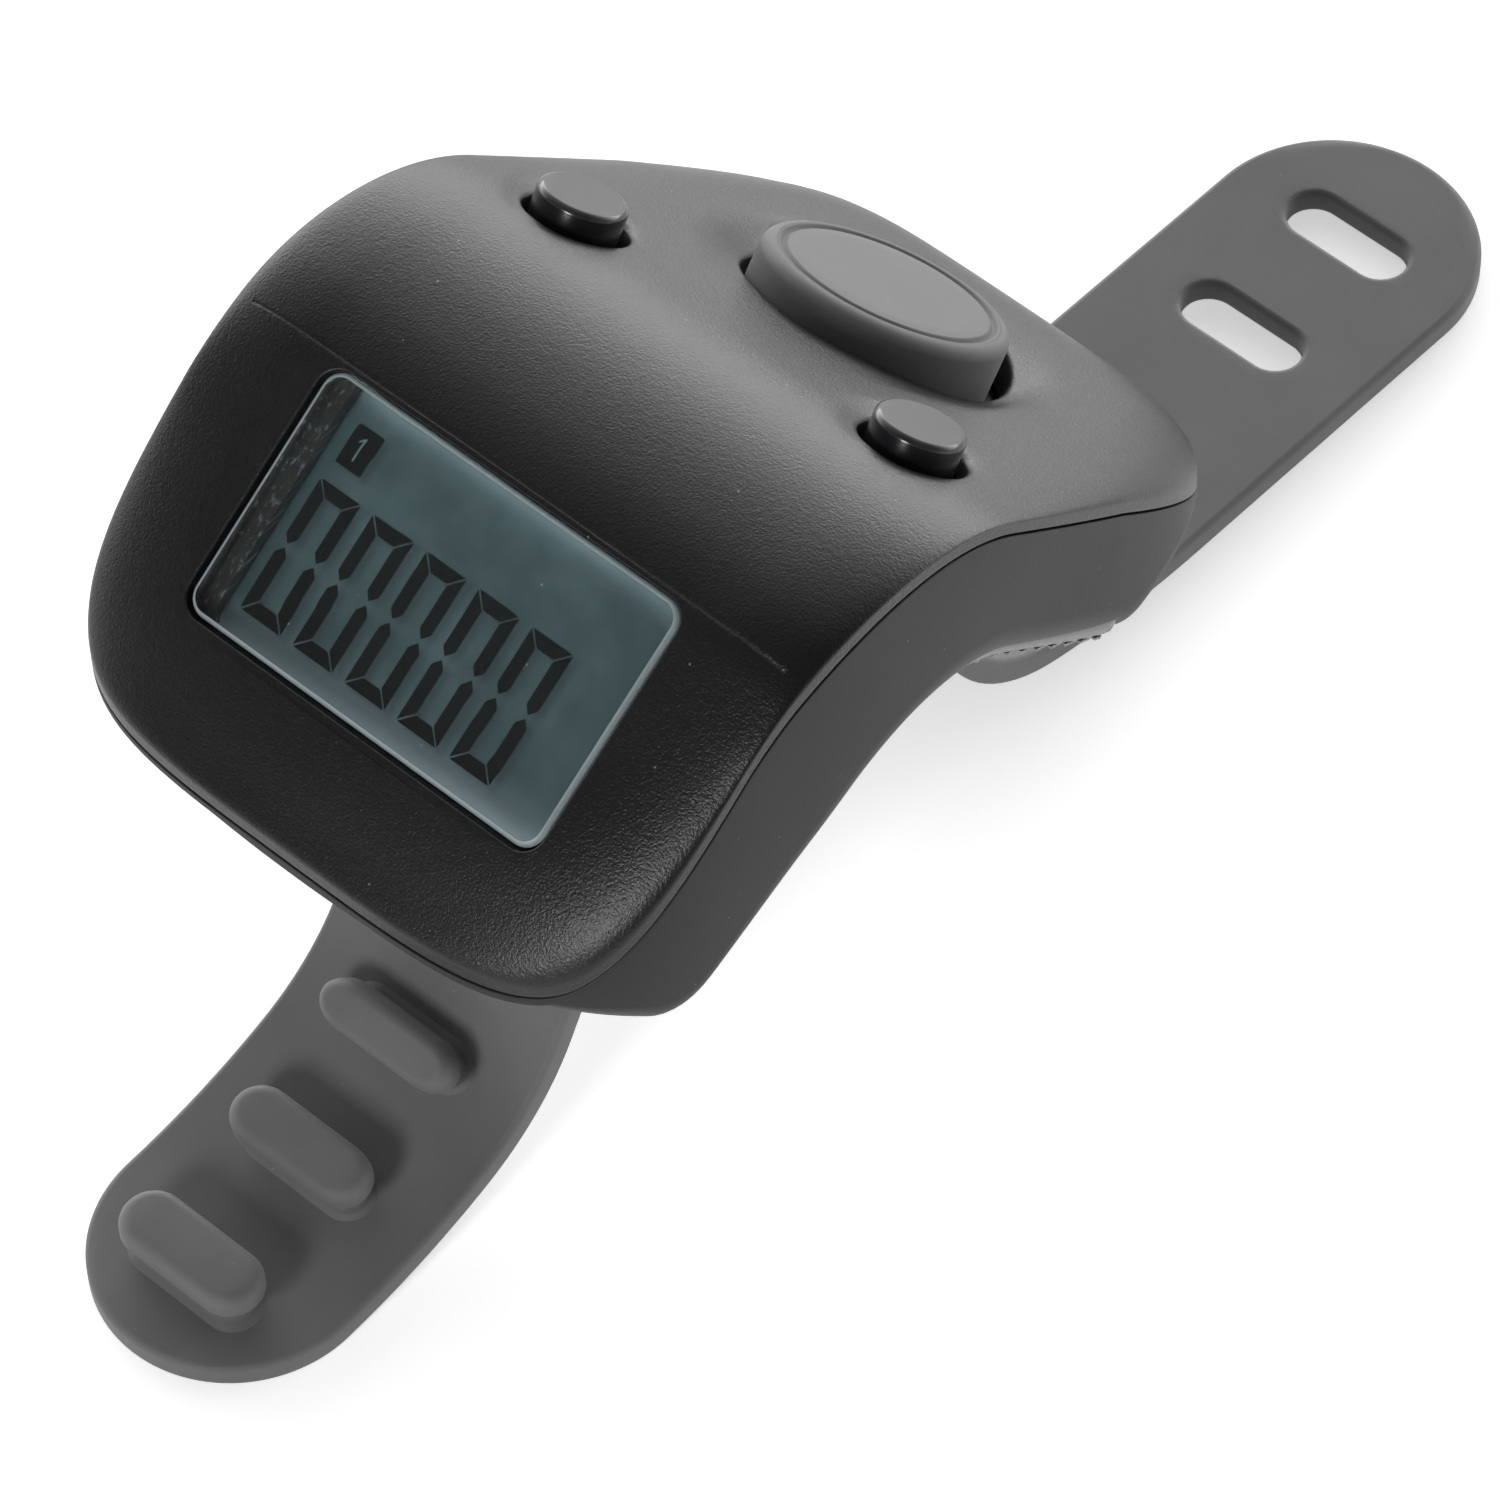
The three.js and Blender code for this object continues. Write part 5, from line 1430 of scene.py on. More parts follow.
@dataclass
class Digits:
    """Five seven-bar digits, all showing nought, and the small mark over the first one."""

    count: int = 5
    pitch: float = 2.91
    first: tuple[float, float] = (-7.3, -1.62)
    half_width: float = 1.15
    half_height: float = 3.14
    stroke: float = 0.7
    gap: float = 0.085
    middle: float = 0.03
    mark: tuple[float, float, float, float] = (-7.6, 3.25, 1.35, 1.8)

    def bars(self) -> list[Array]:
        """The six lit bars of a nought, as convex outlines about the digit's middle."""
        w, h, t = self.half_width, self.half_height, self.stroke
        top = np.array([(-w, h), (-w + t, h - t), (w - t, h - t), (w, h)])
        low, shoulder = self.middle, self.middle + t * 0.55
        side = np.array([(-w, h), (-w, shoulder), (-w + t / 2, low), (-w + t, shoulder), (-w + t, h - t)])
        shapes = [top, self.mirrored(top, 1, -1)]
        shapes += [self.mirrored(side, sx, sy) for sx in (1, -1) for sy in (1, -1)]
        return [self.drawn_in(shape, self.gap / 2) for shape in shapes]

    @staticmethod
    def mirrored(shape: Array, sx: int, sy: int) -> Array:
        """An outline mirrored in x or y, still turning the same way."""
        return (shape * np.array([sx, sy]))[:: 1 if sx * sy > 0 else -1]

    @staticmethod
    def drawn_in(shape: Array, by: float) -> Array:
        """A convex outline with every edge moved inwards, each corner where two moved edges cross."""
        edge = np.roll(shape, -1, 0) - shape
        inward = np.stack([-edge[:, 1], edge[:, 0]], 1) / np.linalg.norm(edge, axis=1, keepdims=True)
        level = (shape * inward).sum(1) + by
        corners = []
        for i in range(len(shape)):
            pair = np.array([inward[i - 1], inward[i]])
            corners.append(np.linalg.solve(pair, [level[i - 1], level[i]]))
        return np.array(corners)

    def outlines(self) -> list[Array]:
        """Every bar of every digit, in the display's x and y."""
        bars = self.bars()
        return [
            bar + np.array([self.first[0] + k * self.pitch, self.first[1]])
            for k in range(self.count)
            for bar in bars
        ]

    def mark_outline(self) -> Array:
        """The mark's square."""
        x, y, width, height = self.mark
        return rounded_rectangle(width, height, 0.06, 2) + np.array([x, y])

    def distance(self, x: Array, y: Array) -> Array:
        """Distance to the nearest shape, negative inside; for a convex one, the furthest of its sides."""
        nearest = np.full(x.shape, 1e3)
        for shape in [*self.outlines(), self.mark_outline()]:
            edge = np.roll(shape, -1, 0) - shape
            length = np.linalg.norm(edge, axis=1)
            keep = length > 1e-6
            outward = np.stack([edge[:, 1], -edge[:, 0]], 1)[keep] / length[keep, None]
            sides = [(x - p[0]) * n[0] + (y - p[1]) * n[1] for p, n in zip(shape[keep], outward)]
            nearest = np.minimum(nearest, np.max(sides, 0))
        return nearest

    def plate(self, outline: Array, low: float, high: float) -> Surface:
        """A thin plate over an outline in the display's seat."""
        return lofted([DISPLAY.place(ring_at(outline, low)), DISPLAY.place(ring_at(outline, high))])

    def build(self, place: Place, top: float) -> list[bpy.types.Object]:
        """Makes the bars with the mark's square as one piece, and the pale figure on the mark as another."""
        ink = Surface(np.zeros((0, 3)), [])
        for shape in [*self.outlines(), self.mark_outline()]:
            ink = ink.joined(self.plate(shape, top + 0.004, top + 0.03))
        bars = make_object("display_segments", ink)
        x, y = self.mark[:2]
        stem = np.array([(-0.04, -0.5), (0.04, -0.5), (0.04, 0.5), (-0.04, 0.5)])
        flag = np.array([(-0.04, 0.5), (-0.22, 0.3), (-0.18, 0.24), (-0.04, 0.38)])
        figure = Surface(np.zeros((0, 3)), [])
        for shape in (stem, flag):
            figure = figure.joined(self.plate(shape + np.array([x, y]), top + 0.034, top + 0.05))
        one = make_object("display_mark_figure", figure)
        for obj in (bars, one):
            place.settle(obj)
        return [bars, one]


@dataclass
class DisplayGlass:
    """The display's glass, with the soft shadow of its segments worked out point by point."""

    digits: Digits
    width: float = 20.8
    height: float = 11.8
    thick: float = 1.4
    top: float = -2.6
    shift: float = -0.3
    step: float = 0.07
    shadow_offset: tuple[float, float] = (0.36, -0.06)
    shadow_blur: float = 0.24
    shadow_depth: float = 0.6

    def build(self, place: Place) -> bpy.types.Object:
        """Makes the glass: a fine grid on top, a plain body below, and its attributes of painted shadow,
        painted light and shade, and painted glow.
        """
        half_w, half_h = self.width / 2, self.height / 2
        xs = np.linspace(-half_w, half_w, round(self.width / self.step) + 1)
        ys = np.linspace(-half_h, half_h, round(self.height / self.step) + 1)
        x, y = np.meshgrid(xs, ys)
        upper = np.stack([x, y + self.shift, np.full_like(x, self.top)], -1)
        surface = self.slab(upper)
        obj = make_object("display_panel", Surface(DISPLAY.place(surface.points), surface.faces))
        local = self.local_points(obj)
        store(obj.data, "shadow", self.shade(local))
        store(obj.data, "glow", self.glow(local))
        store(obj.data, "lit", self.painted_rim_glow(local))
        place.settle(obj)
        return obj

    def slab(self, upper: Array) -> Surface:
        """The grid with four walls and a back under it."""
        rows, columns = upper.shape[:2]
        index = np.arange(rows * columns).reshape(rows, columns)
        rim = rim_of(index)
        low = upper.reshape(-1, 3)[rim] - np.array([0, 0, self.thick])
        below = rows * columns + np.arange(len(rim))
        faces = grid_faces(index) + loop_faces(below, rim)
        faces.append(tuple(int(i) for i in below[::-1]))
        return Surface(np.vstack([upper.reshape(-1, 3), low]), faces)

    def local_points(self, obj: bpy.types.Object) -> Array:
        """The object's points in the display's x and y."""
        points = read_points(obj.data) - np.array([DISPLAY.x, DISPLAY.y, DISPLAY.z])
        cos, sin = math.cos(math.radians(DISPLAY.tilt)), math.sin(math.radians(DISPLAY.tilt))
        return np.stack([points[:, 0], cos * points[:, 1] + sin * points[:, 2]], 1)

    def shade(self, local: Array) -> Array:
        """Shadow: one inside the shifted segments, easing to nought over the blur."""
        shift_x, shift_y = self.shadow_offset
        distance = self.digits.distance(local[:, 0] - shift_x, local[:, 1] - shift_y)
        into = np.clip((self.shadow_blur - distance) / (2 * self.shadow_blur), 0, 1)
        return self.shadow_depth * into * into * (3 - 2 * into)

    def painted_rim_glow(self, local: Array) -> Array:
        """Painted glow, emitted where light that the window's rim passes on would fall, in bell curves along
        three edges.
        """
        u = local[:, 0] / (self.width / 2)
        v = local[:, 1] / (self.height / 2)
        lower = np.exp(-((v + 1.03) / 0.17) ** 2) * (0.6 + 0.4 * u)
        upper = 0.4 * np.exp(-((v - 0.93) / 0.1) ** 2)
        right = 0.3 * np.exp(-((u - 0.96) / 0.06) ** 2)
        return np.clip((lower + upper + right) * np.clip((u + 1) / 0.25, 0, 1), 0, 1)

    def glow(self, local: Array) -> Array:
        """Painted light and shade: brightest along the lower edge, with painted shade beside the left wall
        and in the upper corner.
        """
        u = local[:, 0] / (self.width / 2)
        v = local[:, 1] / (self.height / 2)
        slope = 0.1 - 0.02 * u + 0.01 * v
        lower = 0.75 * np.exp(-((v + 1.04) / 0.2) ** 2)
        upper = 0.08 * np.exp(-((v - 0.92) / 0.14) ** 2)
        wall = 0.15 * np.exp(-((u + 1.0) / 0.2) ** 2)
        corner = 0.06 * np.exp(-((u - 0.9) ** 2 + (v - 0.6) ** 2) / 0.1)
        return np.clip(slope + lower + upper - wall - corner, 0, 1)


@dataclass
class PushButton:
    """A turned button: stem, flange, straight side, rounded rim and, on the large one, a ring groove."""

    name: str
    seat: Seat
    radius: float
    rise: float
    flange: float
    stem: float
    rim: float
    groove: float = 0.0
    groove_width: float = 0.5
    groove_depth: float = 0.2
    bulge: float = 0.0
    chamfer: float = 0.08

    def profile(self) -> list[tuple[float, float]]:
        """(radius, height) from the stem's end over the rim to the middle of the top."""
        flange_top, flange_low, stem_end = -2.0, -2.5, -2.85
        cut, outer = self.chamfer, self.flange
        points = [(0.0, stem_end), (self.stem, stem_end), (self.stem, flange_low)]
        points += [(outer - cut, flange_low), (outer, flange_low + cut)]
        points += [(outer, flange_top - cut), (outer - cut, flange_top), (self.radius, flange_top)]
        centre_r, centre_z = self.radius - self.rim, self.rise - self.rim
        points += [(centre_r + out, centre_z + up) for out, up in fillet(self.rim, 0, 90, 10)]
        if self.groove:
            points += self.groove_profile()
        inner = np.linspace(self.groove - 0.45 if self.groove else centre_r - 0.1, 0.3, 8)
        points += [(float(r), self.rise + self.bulge * (1 - (r / self.radius) ** 2)) for r in inner]
        return points

    def groove_profile(self) -> list[tuple[float, float]]:
        """A groove with soft lips: the depth follows a raised cosine across the groove's width."""
        share = np.linspace(-1.25, 1.25, 15)
        lip = 0.5 + 0.5 * np.cos(np.pi * np.clip(share, -1, 1))
        return [
            (self.groove - float(s) * self.groove_width / 2, self.rise - self.groove_depth * float(d))
            for s, d in zip(share, lip)
        ]

    def build(self, place: Place) -> bpy.types.Object:
        """Makes the button in its seat."""
        surface = turned(self.profile())
        obj = make_object(self.name, Surface(self.seat.place(surface.points), surface.faces))
        place.settle(obj)
        return obj


@dataclass(frozen=True)
class StrapForm:
    """The strap's form, with the source's own sizes."""

    arch_centre: tuple[float, float]
    thick: float = 1.3
    edge: float = 0.3
    front_width: float = 12.7
    rear_width: float = 13.2
    bed_angle: float = 34.0
    leg_angle: float = 60.0
    arch_radius: float = 10.3
    seat_gap: float = 0.25
    front_leg: tuple[tuple[str, float, float], ...] = (
        ("line", 9.8, 0), ("arc", 10, 40), ("arc", 28, 20), ("line", 5.35, 0),
    )
    rear_leg: tuple[tuple[str, float, float], ...] = (
        ("line", 9.1, 0), ("arc", 9, 44), ("arc", 40, 13.6), ("line", 24.0, 0),
    )
    peg: tuple[float, float, float] = (7.4, 3.0, 1.2)
    neck: tuple[float, float] = (2.0, 1.4)
    peg_pitch: float = 7.15
    peg_end: float = 3.95
    peg_count: int = 3
    slot: tuple[float, float] = (6.4, 2.6)
    slot_pitch: float = 7.4
    slot_end: float = 5.8
    slot_count: int = 2
    anchor_neck: tuple[float, float] = (6.4, 2.0)
    anchor_offset: float = 2.3

    @property
    def bed_radius(self) -> float:
        """Radius of the strap's middle line under the arch."""
        return self.arch_radius - self.seat_gap - self.thick / 2


def arch_centre_of(corners: Sequence[tuple[float, float, float]]) -> tuple[float, float]:
    """Centre of the arch's rounding, from the underside's corners."""
    at = [np.array(c[:2], float) for c in corners]
    back = (at[1] - at[2]) / np.linalg.norm(at[1] - at[2])
    on = (at[3] - at[2]) / np.linalg.norm(at[3] - at[2])
    half = math.acos(float(back @ on)) / 2
    return tuple(at[2] + (back + on) / np.linalg.norm(back + on) * corners[2][2] / math.sin(half))


STRAP = StrapForm(arch_centre=arch_centre_of(FORM.underside_corners))


class StrapPath:
    """A strap's middle line in the Y-Z plane, and the way from a flat strap to the bent one."""

    def __init__(self, points: Array, side: int) -> None:
        """Takes the line's points and which way it runs."""
        steps = np.diff(points, axis=0)
        self.at = np.concatenate([[0], np.cumsum(np.linalg.norm(steps, axis=1))])
        self.points = points
        middle = np.gradient(points, self.at, axis=0)
        along = middle / np.linalg.norm(middle, axis=1, keepdims=True)
        self.normals = side * np.stack([-along[:, 1], along[:, 0]], 1)

    @property
    def length(self) -> float:
        """Length of the line."""
        return float(self.at[-1])

    def bend(self, flat: Array) -> Array:
        """Carries flat points (x, distance along, height) onto the line, the height along its normal."""
        columns = [flat[:, 0]]
        for axis in (0, 1):
            point = np.interp(flat[:, 1], self.at, self.points[:, axis])
            normal = np.interp(flat[:, 1], self.at, self.normals[:, axis])
            columns.append(point + flat[:, 2] * normal)
        return np.stack(columns, 1)


def arch_points(form: StrapForm, start: float, end: float) -> Array:
    """Points on the arc under the arch, between two angles from its top."""
    angles = np.radians(np.linspace(start, end, max(2, round(abs(end - start) / 1.5)) + 1))
    centre = np.array(form.arch_centre)
    return centre + form.bed_radius * np.stack([np.sin(angles), np.cos(angles)], 1)


def leg_points(form: StrapForm, side: int, moves: Sequence[tuple[str, float, float]]) -> Array:
    """A wing's middle line: on from the arch by lines and arcs that flatten out towards the foot."""
    points = [arch_points(form, side * form.bed_angle, side * form.leg_angle)]
    at, slope = points[0][-1], math.radians(form.leg_angle)
    for kind, size, turn in moves:
        if kind == "line":
            share = np.linspace(0, 1, max(2, round(size / 0.6)) + 1)[1:]
            way = np.array([side * math.cos(slope), -math.sin(slope)]) * size
            added = at + share[:, None] * way
        else:
            angles = slope - np.radians(np.linspace(0, turn, round(turn / 1.5) + 1)[1:])
            added = at + size * np.stack(
                [side * (math.sin(slope) - np.sin(angles)), -(np.cos(angles) - math.cos(slope))], 1
            )
            slope = float(angles[-1])
        points.append(added)
        at = added[-1]
    return np.vstack(points)


def strap_band(form: StrapForm, length: float, width: float, round_tip: bool) -> Surface:
    """A flat band with rounded long edges and, where asked, a half-round tip.

    Its upper and lower faces fall by radius - sqrt(radius^2 - (radius - d)^2) where the distance d to the
    outline is below the edge radius.

    Args:
        form: The strap's form.
        length: Length of the band.
        width: Its width.
        round_tip: True if the far end is a half circle.

    Returns:
        The band in flat x, distance along and height.
    """
    half = width / 2
    straight = length - half if round_tip else length
    rows = np.linspace(0, straight, max(8, round(straight / 0.45)))
    if round_tip:
        rows = np.concatenate([rows, straight + half * np.sin(np.radians(np.linspace(0, 90, 31)))[1:]])
    band = form.edge / half * 1.15
    inner = np.linspace(0, 1 - band, 9)
    outer = 1 - band * (1 - np.sin(np.radians(np.linspace(0, 90, 8)))[1:])
    right = np.concatenate([inner, outer])
    across = np.concatenate([-right[:0:-1], right])
    past = np.maximum(rows - straight, 0)
    widths = np.sqrt(np.maximum(half * half - past * past, 0)) if round_tip else np.full_like(rows, half)
    x = across[None, :] * widths[:, None]
    s = np.repeat(rows[:, None], len(across), 1)
    inside = np.where(s > straight, half - np.hypot(x, s - straight), half - np.abs(x))
    into = np.clip(form.edge - inside, 0, form.edge)
    drop = form.edge - np.sqrt(np.maximum(form.edge**2 - into**2, 0))
    level = form.thick / 2 - drop
    return closed_layers([np.stack([x, s, level], -1), np.stack([x, s, -level], -1)])


def mushroom(form: StrapForm, at: float) -> Surface:
    """A peg on a flat band: a neck, an undercut head with a round rim and a slightly domed top."""
    length, width, head = form.peg
    neck_width, neck = form.neck
    base = form.thick / 2
    spread = (width - neck_width) / 2
    rim = 0.62
    profile = [(0.3 - spread, base - 0.2), (0.3 - spread, base), (0.06 - spread, base + 0.16)]
    profile += [(-spread, base + 0.35), (-spread, base + neck)]
    profile += [(-0.12, base + neck), (0.0, base + neck + 0.12)]
    top = base + neck + head
    profile += [(out - rim, top - rim + up) for out, up in fillet(rim, 0, 90, 8)]
    profile += [(-rim - 0.3, top + 0.02), (0.12 - width / 2, top + 0.04)]
    return stadium_body((length, width), at, profile)


def slot_cut(form: StrapForm, at: float) -> Surface:
    """Cutter of a slot through a flat band, leaving both its edges rounded."""
    half = form.thick / 2
    upper = [(out, half + up) for out, up in flared(form.edge)]
    return stadium_body(form.slot, at, [(out, -up) for out, up in upper[::-1]] + upper)


@dataclass
class StrapWing:
    """One wing of the strap, made flat and then bent along its line."""

    name: str
    side: int
    form: StrapForm = STRAP

    def build(self, place: Place) -> bpy.types.Object:
        """Makes the wing with its pegs or slots."""
        form, front = self.form, self.side < 0
        moves = form.front_leg if front else form.rear_leg
        path = StrapPath(leg_points(form, self.side, moves), self.side)
        width = form.front_width if front else form.rear_width
        obj = make_object(self.name, strap_band(form, path.length, width, True))
        if front:
            places = [path.length - form.peg_end - k * form.peg_pitch for k in range(form.peg_count)]
            carve(obj, [(Cut.ONTO, mushroom(form, at)) for at in places])
        else:
            places = [path.length - form.slot_end - k * form.slot_pitch for k in range(form.slot_count)]
            carve(obj, [(Cut.AWAY, slot_cut(form, at)) for at in places])
        write_points(obj.data, path.bend(read_points(obj.data)))
        if front:
            obj.data.flip_normals()
        place.settle(obj)
        return obj


@dataclass
class StrapCentre:
    """The strap's middle under the arch, with the two anchors that hold it in the bottom cover."""

    case: Case
    form: StrapForm = STRAP

    def anchor(self, side: int) -> Surface:
        """One anchor: a neck through the cover and a wider head on its inside."""
        y = self.form.arch_centre[0] + side * self.form.anchor_offset
        under = float(height_on(self.case.under_path, np.array(y)))
        inside = under + self.case.form.wall * FLOOR_SHARE + 0.5
        foot = under - self.form.seat_gap - self.form.thick / 2
        profile = [(0, foot), (0, inside + 0.25), (0.42, inside + 0.25), (0.5, inside + 0.33)]
        profile += [(0.5, inside + 0.85), (0.3, inside + 1.05)]
        return stadium_body(self.form.anchor_neck, y, profile, 8)

    def build(self, place: Place) -> bpy.types.Object:
        """Makes the middle."""
        path = StrapPath(arch_points(self.form, -self.form.bed_angle, self.form.bed_angle), 1)
        obj = make_object("strap_middle", strap_band(self.form, path.length, self.form.front_width, False))
        write_points(obj.data, path.bend(read_points(obj.data)))
        carve(obj, [(Cut.ONTO, self.anchor(side)) for side in (-1, 1)])
        place.settle(obj)
        return obj


@dataclass
class Stage:
    """The pale floor, the soft lamp, the sky and the camera of the photograph."""

    floor_colour: str = "f8f8f8"
    floor_size: float = 3.0
    camera_at: tuple[float, float, float] = (0.15942, -0.16303, 0.30200)
    right: tuple[float, float, float] = (0.73928, 0.67243, -0.03607)
    up: tuple[float, float, float] = (-0.52154, 0.60563, 0.60100)
    back: tuple[float, float, float] = (0.42597, -0.42550, 0.79843)
    lens: float = 207.4
    lamp_at: tuple[float, float, float] = (0.07, -0.43, 0.25)
    lamp_size: float = 0.12
    lamp_power: float = 0.95

    def camera(self) -> None:
        """Sets the camera up from its three axes."""
        data = bpy.data.cameras.new("camera")
        data.lens = self.lens
        data.sensor_width = 36.0
        data.clip_start = 0.01
        camera = bpy.data.objects.new("camera", data)
        bpy.context.scene.collection.objects.link(camera)
        axes = np.eye(4)
        axes[:3, 0], axes[:3, 1], axes[:3, 2] = self.right, self.up, self.back
        axes[:3, 3] = self.camera_at
        camera.matrix_world = Matrix(axes.tolist())
        bpy.context.scene.camera = camera

    def floor(self) -> None:
        """Lays the floor under the strap's feet; to the camera it glows a little, as a lit table does."""
        half = self.floor_size / 2
        mesh = bpy.data.meshes.new("floor")
        corners = [(x * half, y * half, 0) for x, y in ((-1, -1), (1, -1), (1, 1), (-1, 1))]
        mesh.from_pydata(corners, [], [(0, 1, 2, 3)])
        floor = bpy.data.objects.new("floor", mesh)
        bpy.context.scene.collection.objects.link(floor)
        material, nodes, shader = new_material("floor_paper")
        nodes.fix(shader, Base_Color=(*linear(self.floor_colour), 1), Roughness=0.9,
                  Specular_IOR_Level=0.1, Emission_Color=(1, 1, 1, 1))
        seen = nodes.add("LightPath").outputs["Is Camera Ray"]
        nodes.feed(shader.inputs["Emission Strength"], nodes.between(seen, 0.0, 1.0, 0.34, 0.5))
        mesh.materials.append(material)

    def sky(self) -> None:
        """A soft sky, dim overhead and brightest low down behind the counter, to its left."""
        world = bpy.data.worlds.new("sky")
        bpy.context.scene.world = world
        world.use_nodes = True
        world.node_tree.nodes.clear()
        nodes = Nodes(world.node_tree)
        way = nodes.add("TexCoord").outputs["Generated"]
        axes = nodes.add("SeparateXYZ", Vector=way).outputs
        low_down = nodes.between(axes["Z"], 0.0, 0.65, 6.3, 0.9)
        back, right = nodes.sum("MULTIPLY", axes["Y"], 0.83), nodes.sum("MULTIPLY", axes["X"], 0.55)
        to_left = nodes.sum("SUBTRACT", back, right)
        behind = nodes.sum("MULTIPLY", nodes.between(to_left, 0.0, 0.8, 0.0, 1.0), low_down)
        strength = nodes.sum("ADD", nodes.between(axes["Z"], 0.0, 0.5, 0.5, 0.12), behind)
        seen = nodes.add("LightPath").outputs["Is Camera Ray"]
        final = nodes.sum("MAXIMUM", strength, seen)
        shader = nodes.add("Background", Strength=final)
        nodes.fix(shader, Color=(1, 1, 1, 1))
        output = nodes.add("OutputWorld")
        nodes.feed(output.inputs["Surface"], shader.outputs[0])

    def lamp(self) -> None:
        """Hangs the soft square lamp that faces the object's front."""
        data = bpy.data.lights.new("front", "AREA")
        data.size, data.energy = self.lamp_size, self.lamp_power
        lamp = bpy.data.objects.new("front", data)
        bpy.context.scene.collection.objects.link(lamp)
        at, target = np.array(self.lamp_at), np.array([0, 0, 0.02])
        back = at - target
        back = back / np.linalg.norm(back)
        side = np.cross([0, 0, 1], back)
        side = side / np.linalg.norm(side)
        axes = np.eye(4)
        axes[:3, 0], axes[:3, 1], axes[:3, 2], axes[:3, 3] = side, np.cross(back, side), back, at
        lamp.matrix_world = Matrix(axes.tolist())

    def build(self) -> None:
        """Sets up everything that isn't the counter."""
        bpy.context.scene.view_settings.view_transform = "Standard"
        self.camera()
        self.floor()
        self.sky()
        self.lamp()


CAD_FINISHES: dict[str, tuple[str, ...]] = {
    "rubber": ("zebra_connector_upper", "zebra_connector_lower", "counter_chip",
               "main_switch", "left_switch", "right_switch"),
    "board": ("display_board", "button_board"),
    "holder": ("cell_holder", "main_switch_plunger", "left_switch_plunger", "right_switch_plunger"),
    "steel": ("button_cell", "cell_contact_negative", "cell_contact_positive",
              "display_board_screw_left", "display_board_screw_right",
              "button_board_screw_left", "button_board_screw_right",
              "cover_screw_front_left", "cover_screw_front_right",
              "cover_screw_rear_left", "cover_screw_rear_right"),
    "flex": ("flex_cable",),
}


def find_place() -> Place:
    """Finds where the shapes' origin lies in the frame, from the display glass's box."""
    low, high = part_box("display_glass")
    glass = DisplayGlass(Digits())
    middle = DISPLAY.place(np.array([[0.0, glass.shift, glass.top - glass.thick / 2]]))[0]
    return Place(
        y=(low.y + high.y) / 2 / MM - float(middle[1]),
        z=(low.z + high.z) / 2 / MM - float(middle[2]),
    )


def dress(obj: bpy.types.Object, material: bpy.types.Material, body: str, slot: str, *nodes: str) -> None:
    """Gives a piece its finish and its body, and hides the nodes that it stands for.

    Args:
        obj: The piece.
        material: Its material.
        body: The body that it rides on.
        slot: The record's material slot; not used.
        *nodes: CAD nodes that it replaces.
    """
    obj.data.materials.clear()
    obj.data.materials.append(material)
    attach(obj, body)
    if nodes:
        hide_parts(*nodes)
    log.info("%s: %d points, rides on %s", obj.name, len(obj.data.vertices), body)


def build_case(case: Case, place: Place, finishes: Finishes) -> None:
    """Builds the covers and the studs."""
    dress(TopCover(case).build(place), finishes.case, "case", "case_black", "top_cover")
    dress(BottomCover(case).build(place), finishes.base, "case", "case_black", "bottom_cover")
    dress(Studs(case).build(place), finishes.stud, "case", "case_black")


def build_display(place: Place, finishes: Finishes) -> None:
    """Builds the window, the display and its digits."""
    digits = Digits()
    glass = DisplayGlass(digits)
    window = Window().build(place)
    dress(window, finishes.window, "case", "clear_window", "display_window")
    # Paints the bevel's bright line with the paler rim finish.
    part_finish(window, finishes.window_rim_highlight, DISPLAY, 0.15, 0.97)
    dress(DisplayFrame().build(place), finishes.frame, "case", "frame_grey", "display_frame")
    dress(glass.build(place), finishes.display, "case", "display_glass", "display_glass")
    bars, figure = digits.build(place, glass.top)
    dress(bars, finishes.ink, "case", "display_glass")
    dress(figure, finishes.mark, "case", "display_glass")


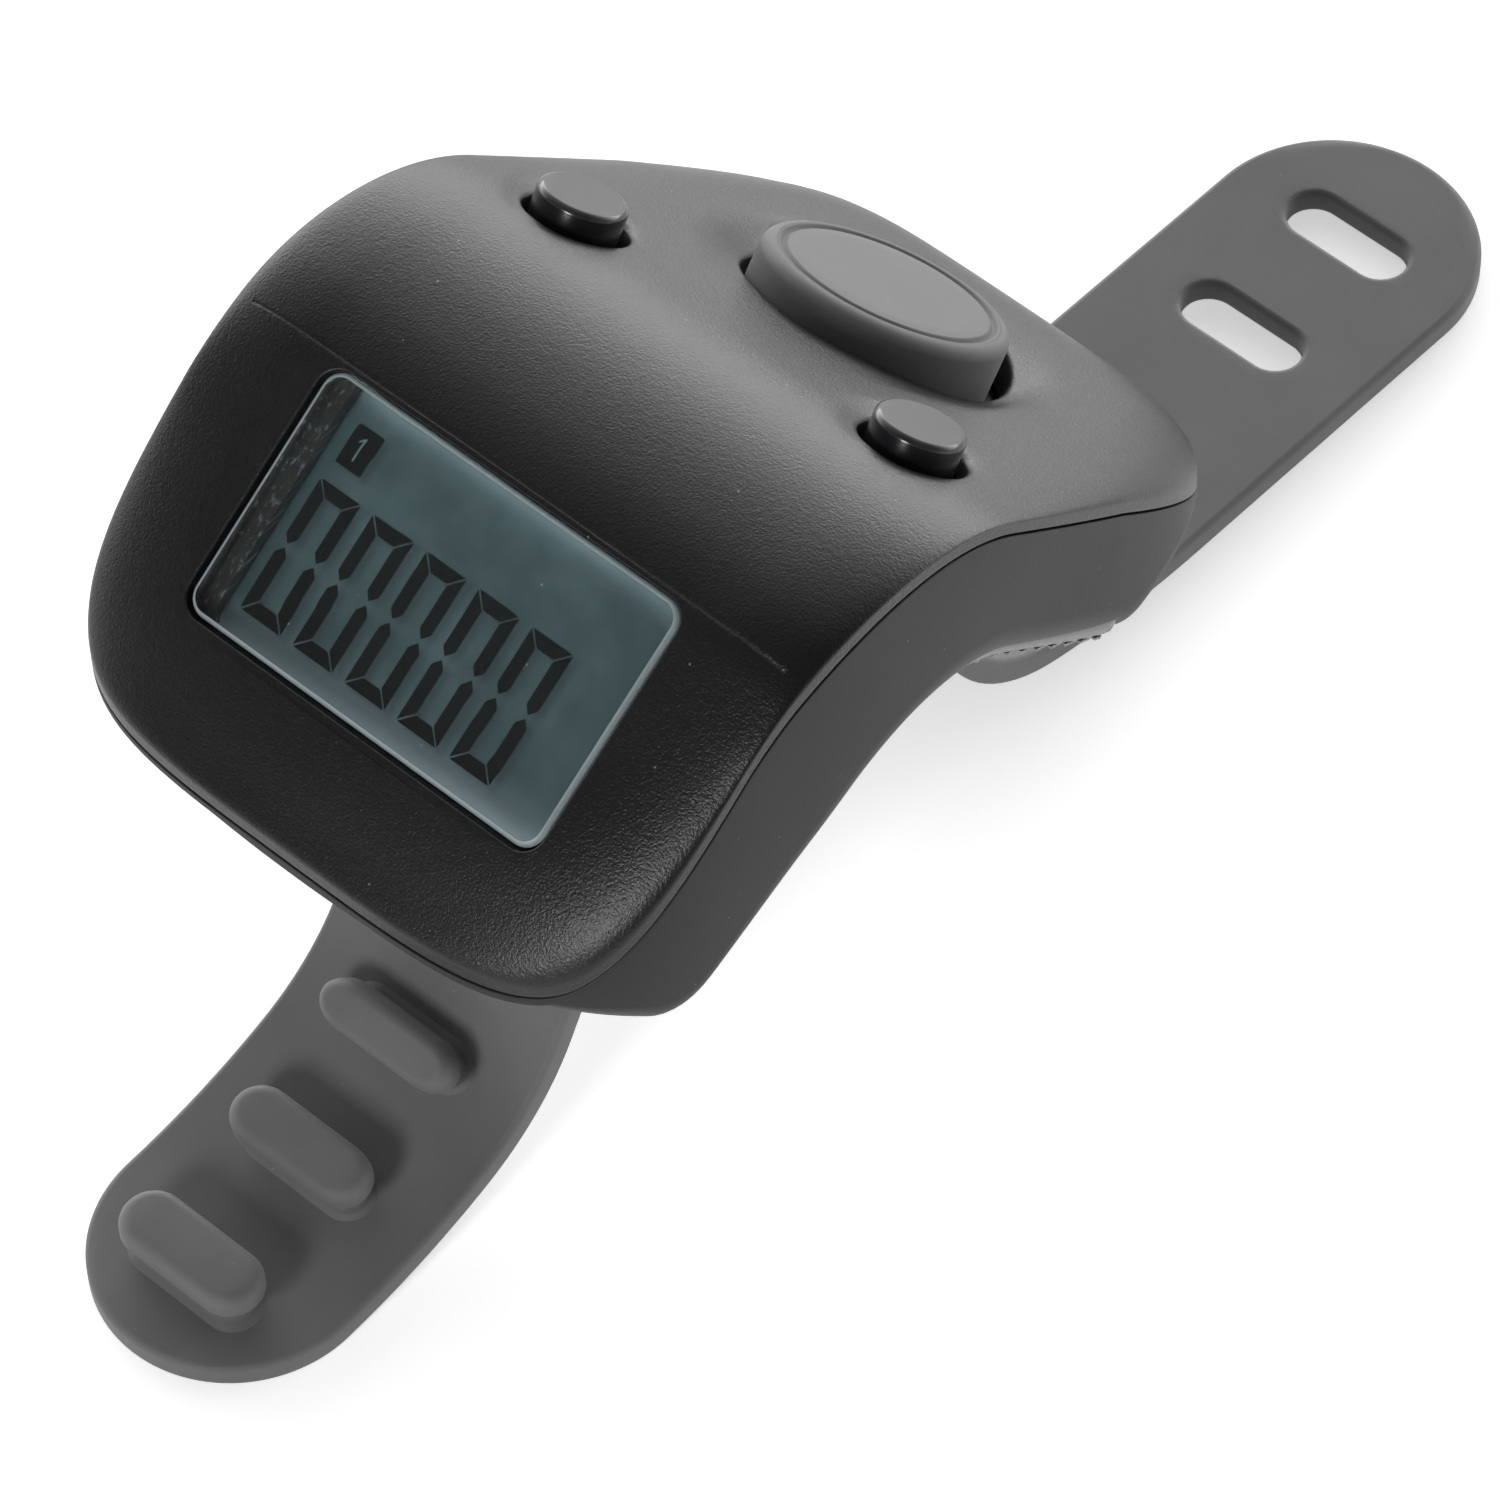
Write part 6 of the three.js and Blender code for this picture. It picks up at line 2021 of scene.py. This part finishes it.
def build_buttons(place: Place, finishes: Finishes) -> None:
    """Builds the large button and the two small ones."""
    main = PushButton("main_button_cap", MAIN, 5.66, 1.3, 6.51, 1.5, 0.6, groove=4.78, bulge=0.06)
    dress(main.build(place), finishes.button, "main_button", "button_grey", "main_button")
    for side, seat in SMALL_SEATS.items():
        button = PushButton(f"{side}_button_cap", seat, 2.0, 1.04, 3.07, 1.1, 0.3, bulge=0.02)
        obj = button.build(place)
        dress(obj, finishes.glossy, f"{side}_button", "button_black", f"{side}_button")
        part_finish(obj, finishes.satin, seat, 0.93, 1.0)


def part_finish(
    obj: bpy.types.Object, material: bpy.types.Material, seat: Seat, low: float, high: float
) -> None:
    """Gives its own material to the faces whose normal, along a seat's, lies between two values.

    Args:
        obj: The piece.
        material: The material of those faces.
        seat: The seat.
        low: The least share of the normal along the seat's.
        high: The greatest.
    """
    obj.data.materials.append(material)
    tilt = math.radians(seat.tilt)
    normals = np.empty(len(obj.data.polygons) * 3)
    obj.data.polygons.foreach_get("normal", normals)
    along = normals.reshape(-1, 3) @ np.array([0, -math.sin(tilt), math.cos(tilt)])
    chosen = (along > low) & (along < high + 1e-6)
    obj.data.polygons.foreach_set("material_index", chosen.astype(np.int32))


def build_strap(case: Case, place: Place, finishes: Finishes) -> None:
    """Builds the strap: its middle, and two wings that bend away from it."""
    dress(StrapCentre(case).build(place), finishes.strap, "case", "silicone_grey", "strap_centre")
    for name, side in (("strap_front", -1), ("strap_rear", 1)):
        wing = StrapWing(f"{name}_wing", side).build(place)
        wing.data.materials.clear()
        wing.data.materials.append(finishes.strap)
        joint = next(j for j in frame["joints"] if j["child"] == name)
        log.info("%s turns about %s", wing.name, joint["name"])
        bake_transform(wing)
        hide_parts(name)


def dress_frame_pieces(finishes: Finishes) -> None:
    """Gives every inner CAD piece its finish."""
    for finish, names in CAD_FINISHES.items():
        for name in names:
            obj = frame["nodes"][name]
            for holder in obj.material_slots:
                holder.material = getattr(finishes, finish)
            log.info("%s: finish %s", name, finish)


def main() -> None:
    """Builds the counter and its stage."""
    logging.basicConfig(level=logging.INFO, format="%(message)s")
    Stage().build()
    case, place, finishes = Case(FORM), find_place(), Finishes()
    build_case(case, place, finishes)
    build_display(place, finishes)
    build_buttons(place, finishes)
    build_strap(case, place, finishes)
    dress_frame_pieces(finishes)
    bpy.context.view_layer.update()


if __name__ == "__main__":
    main()
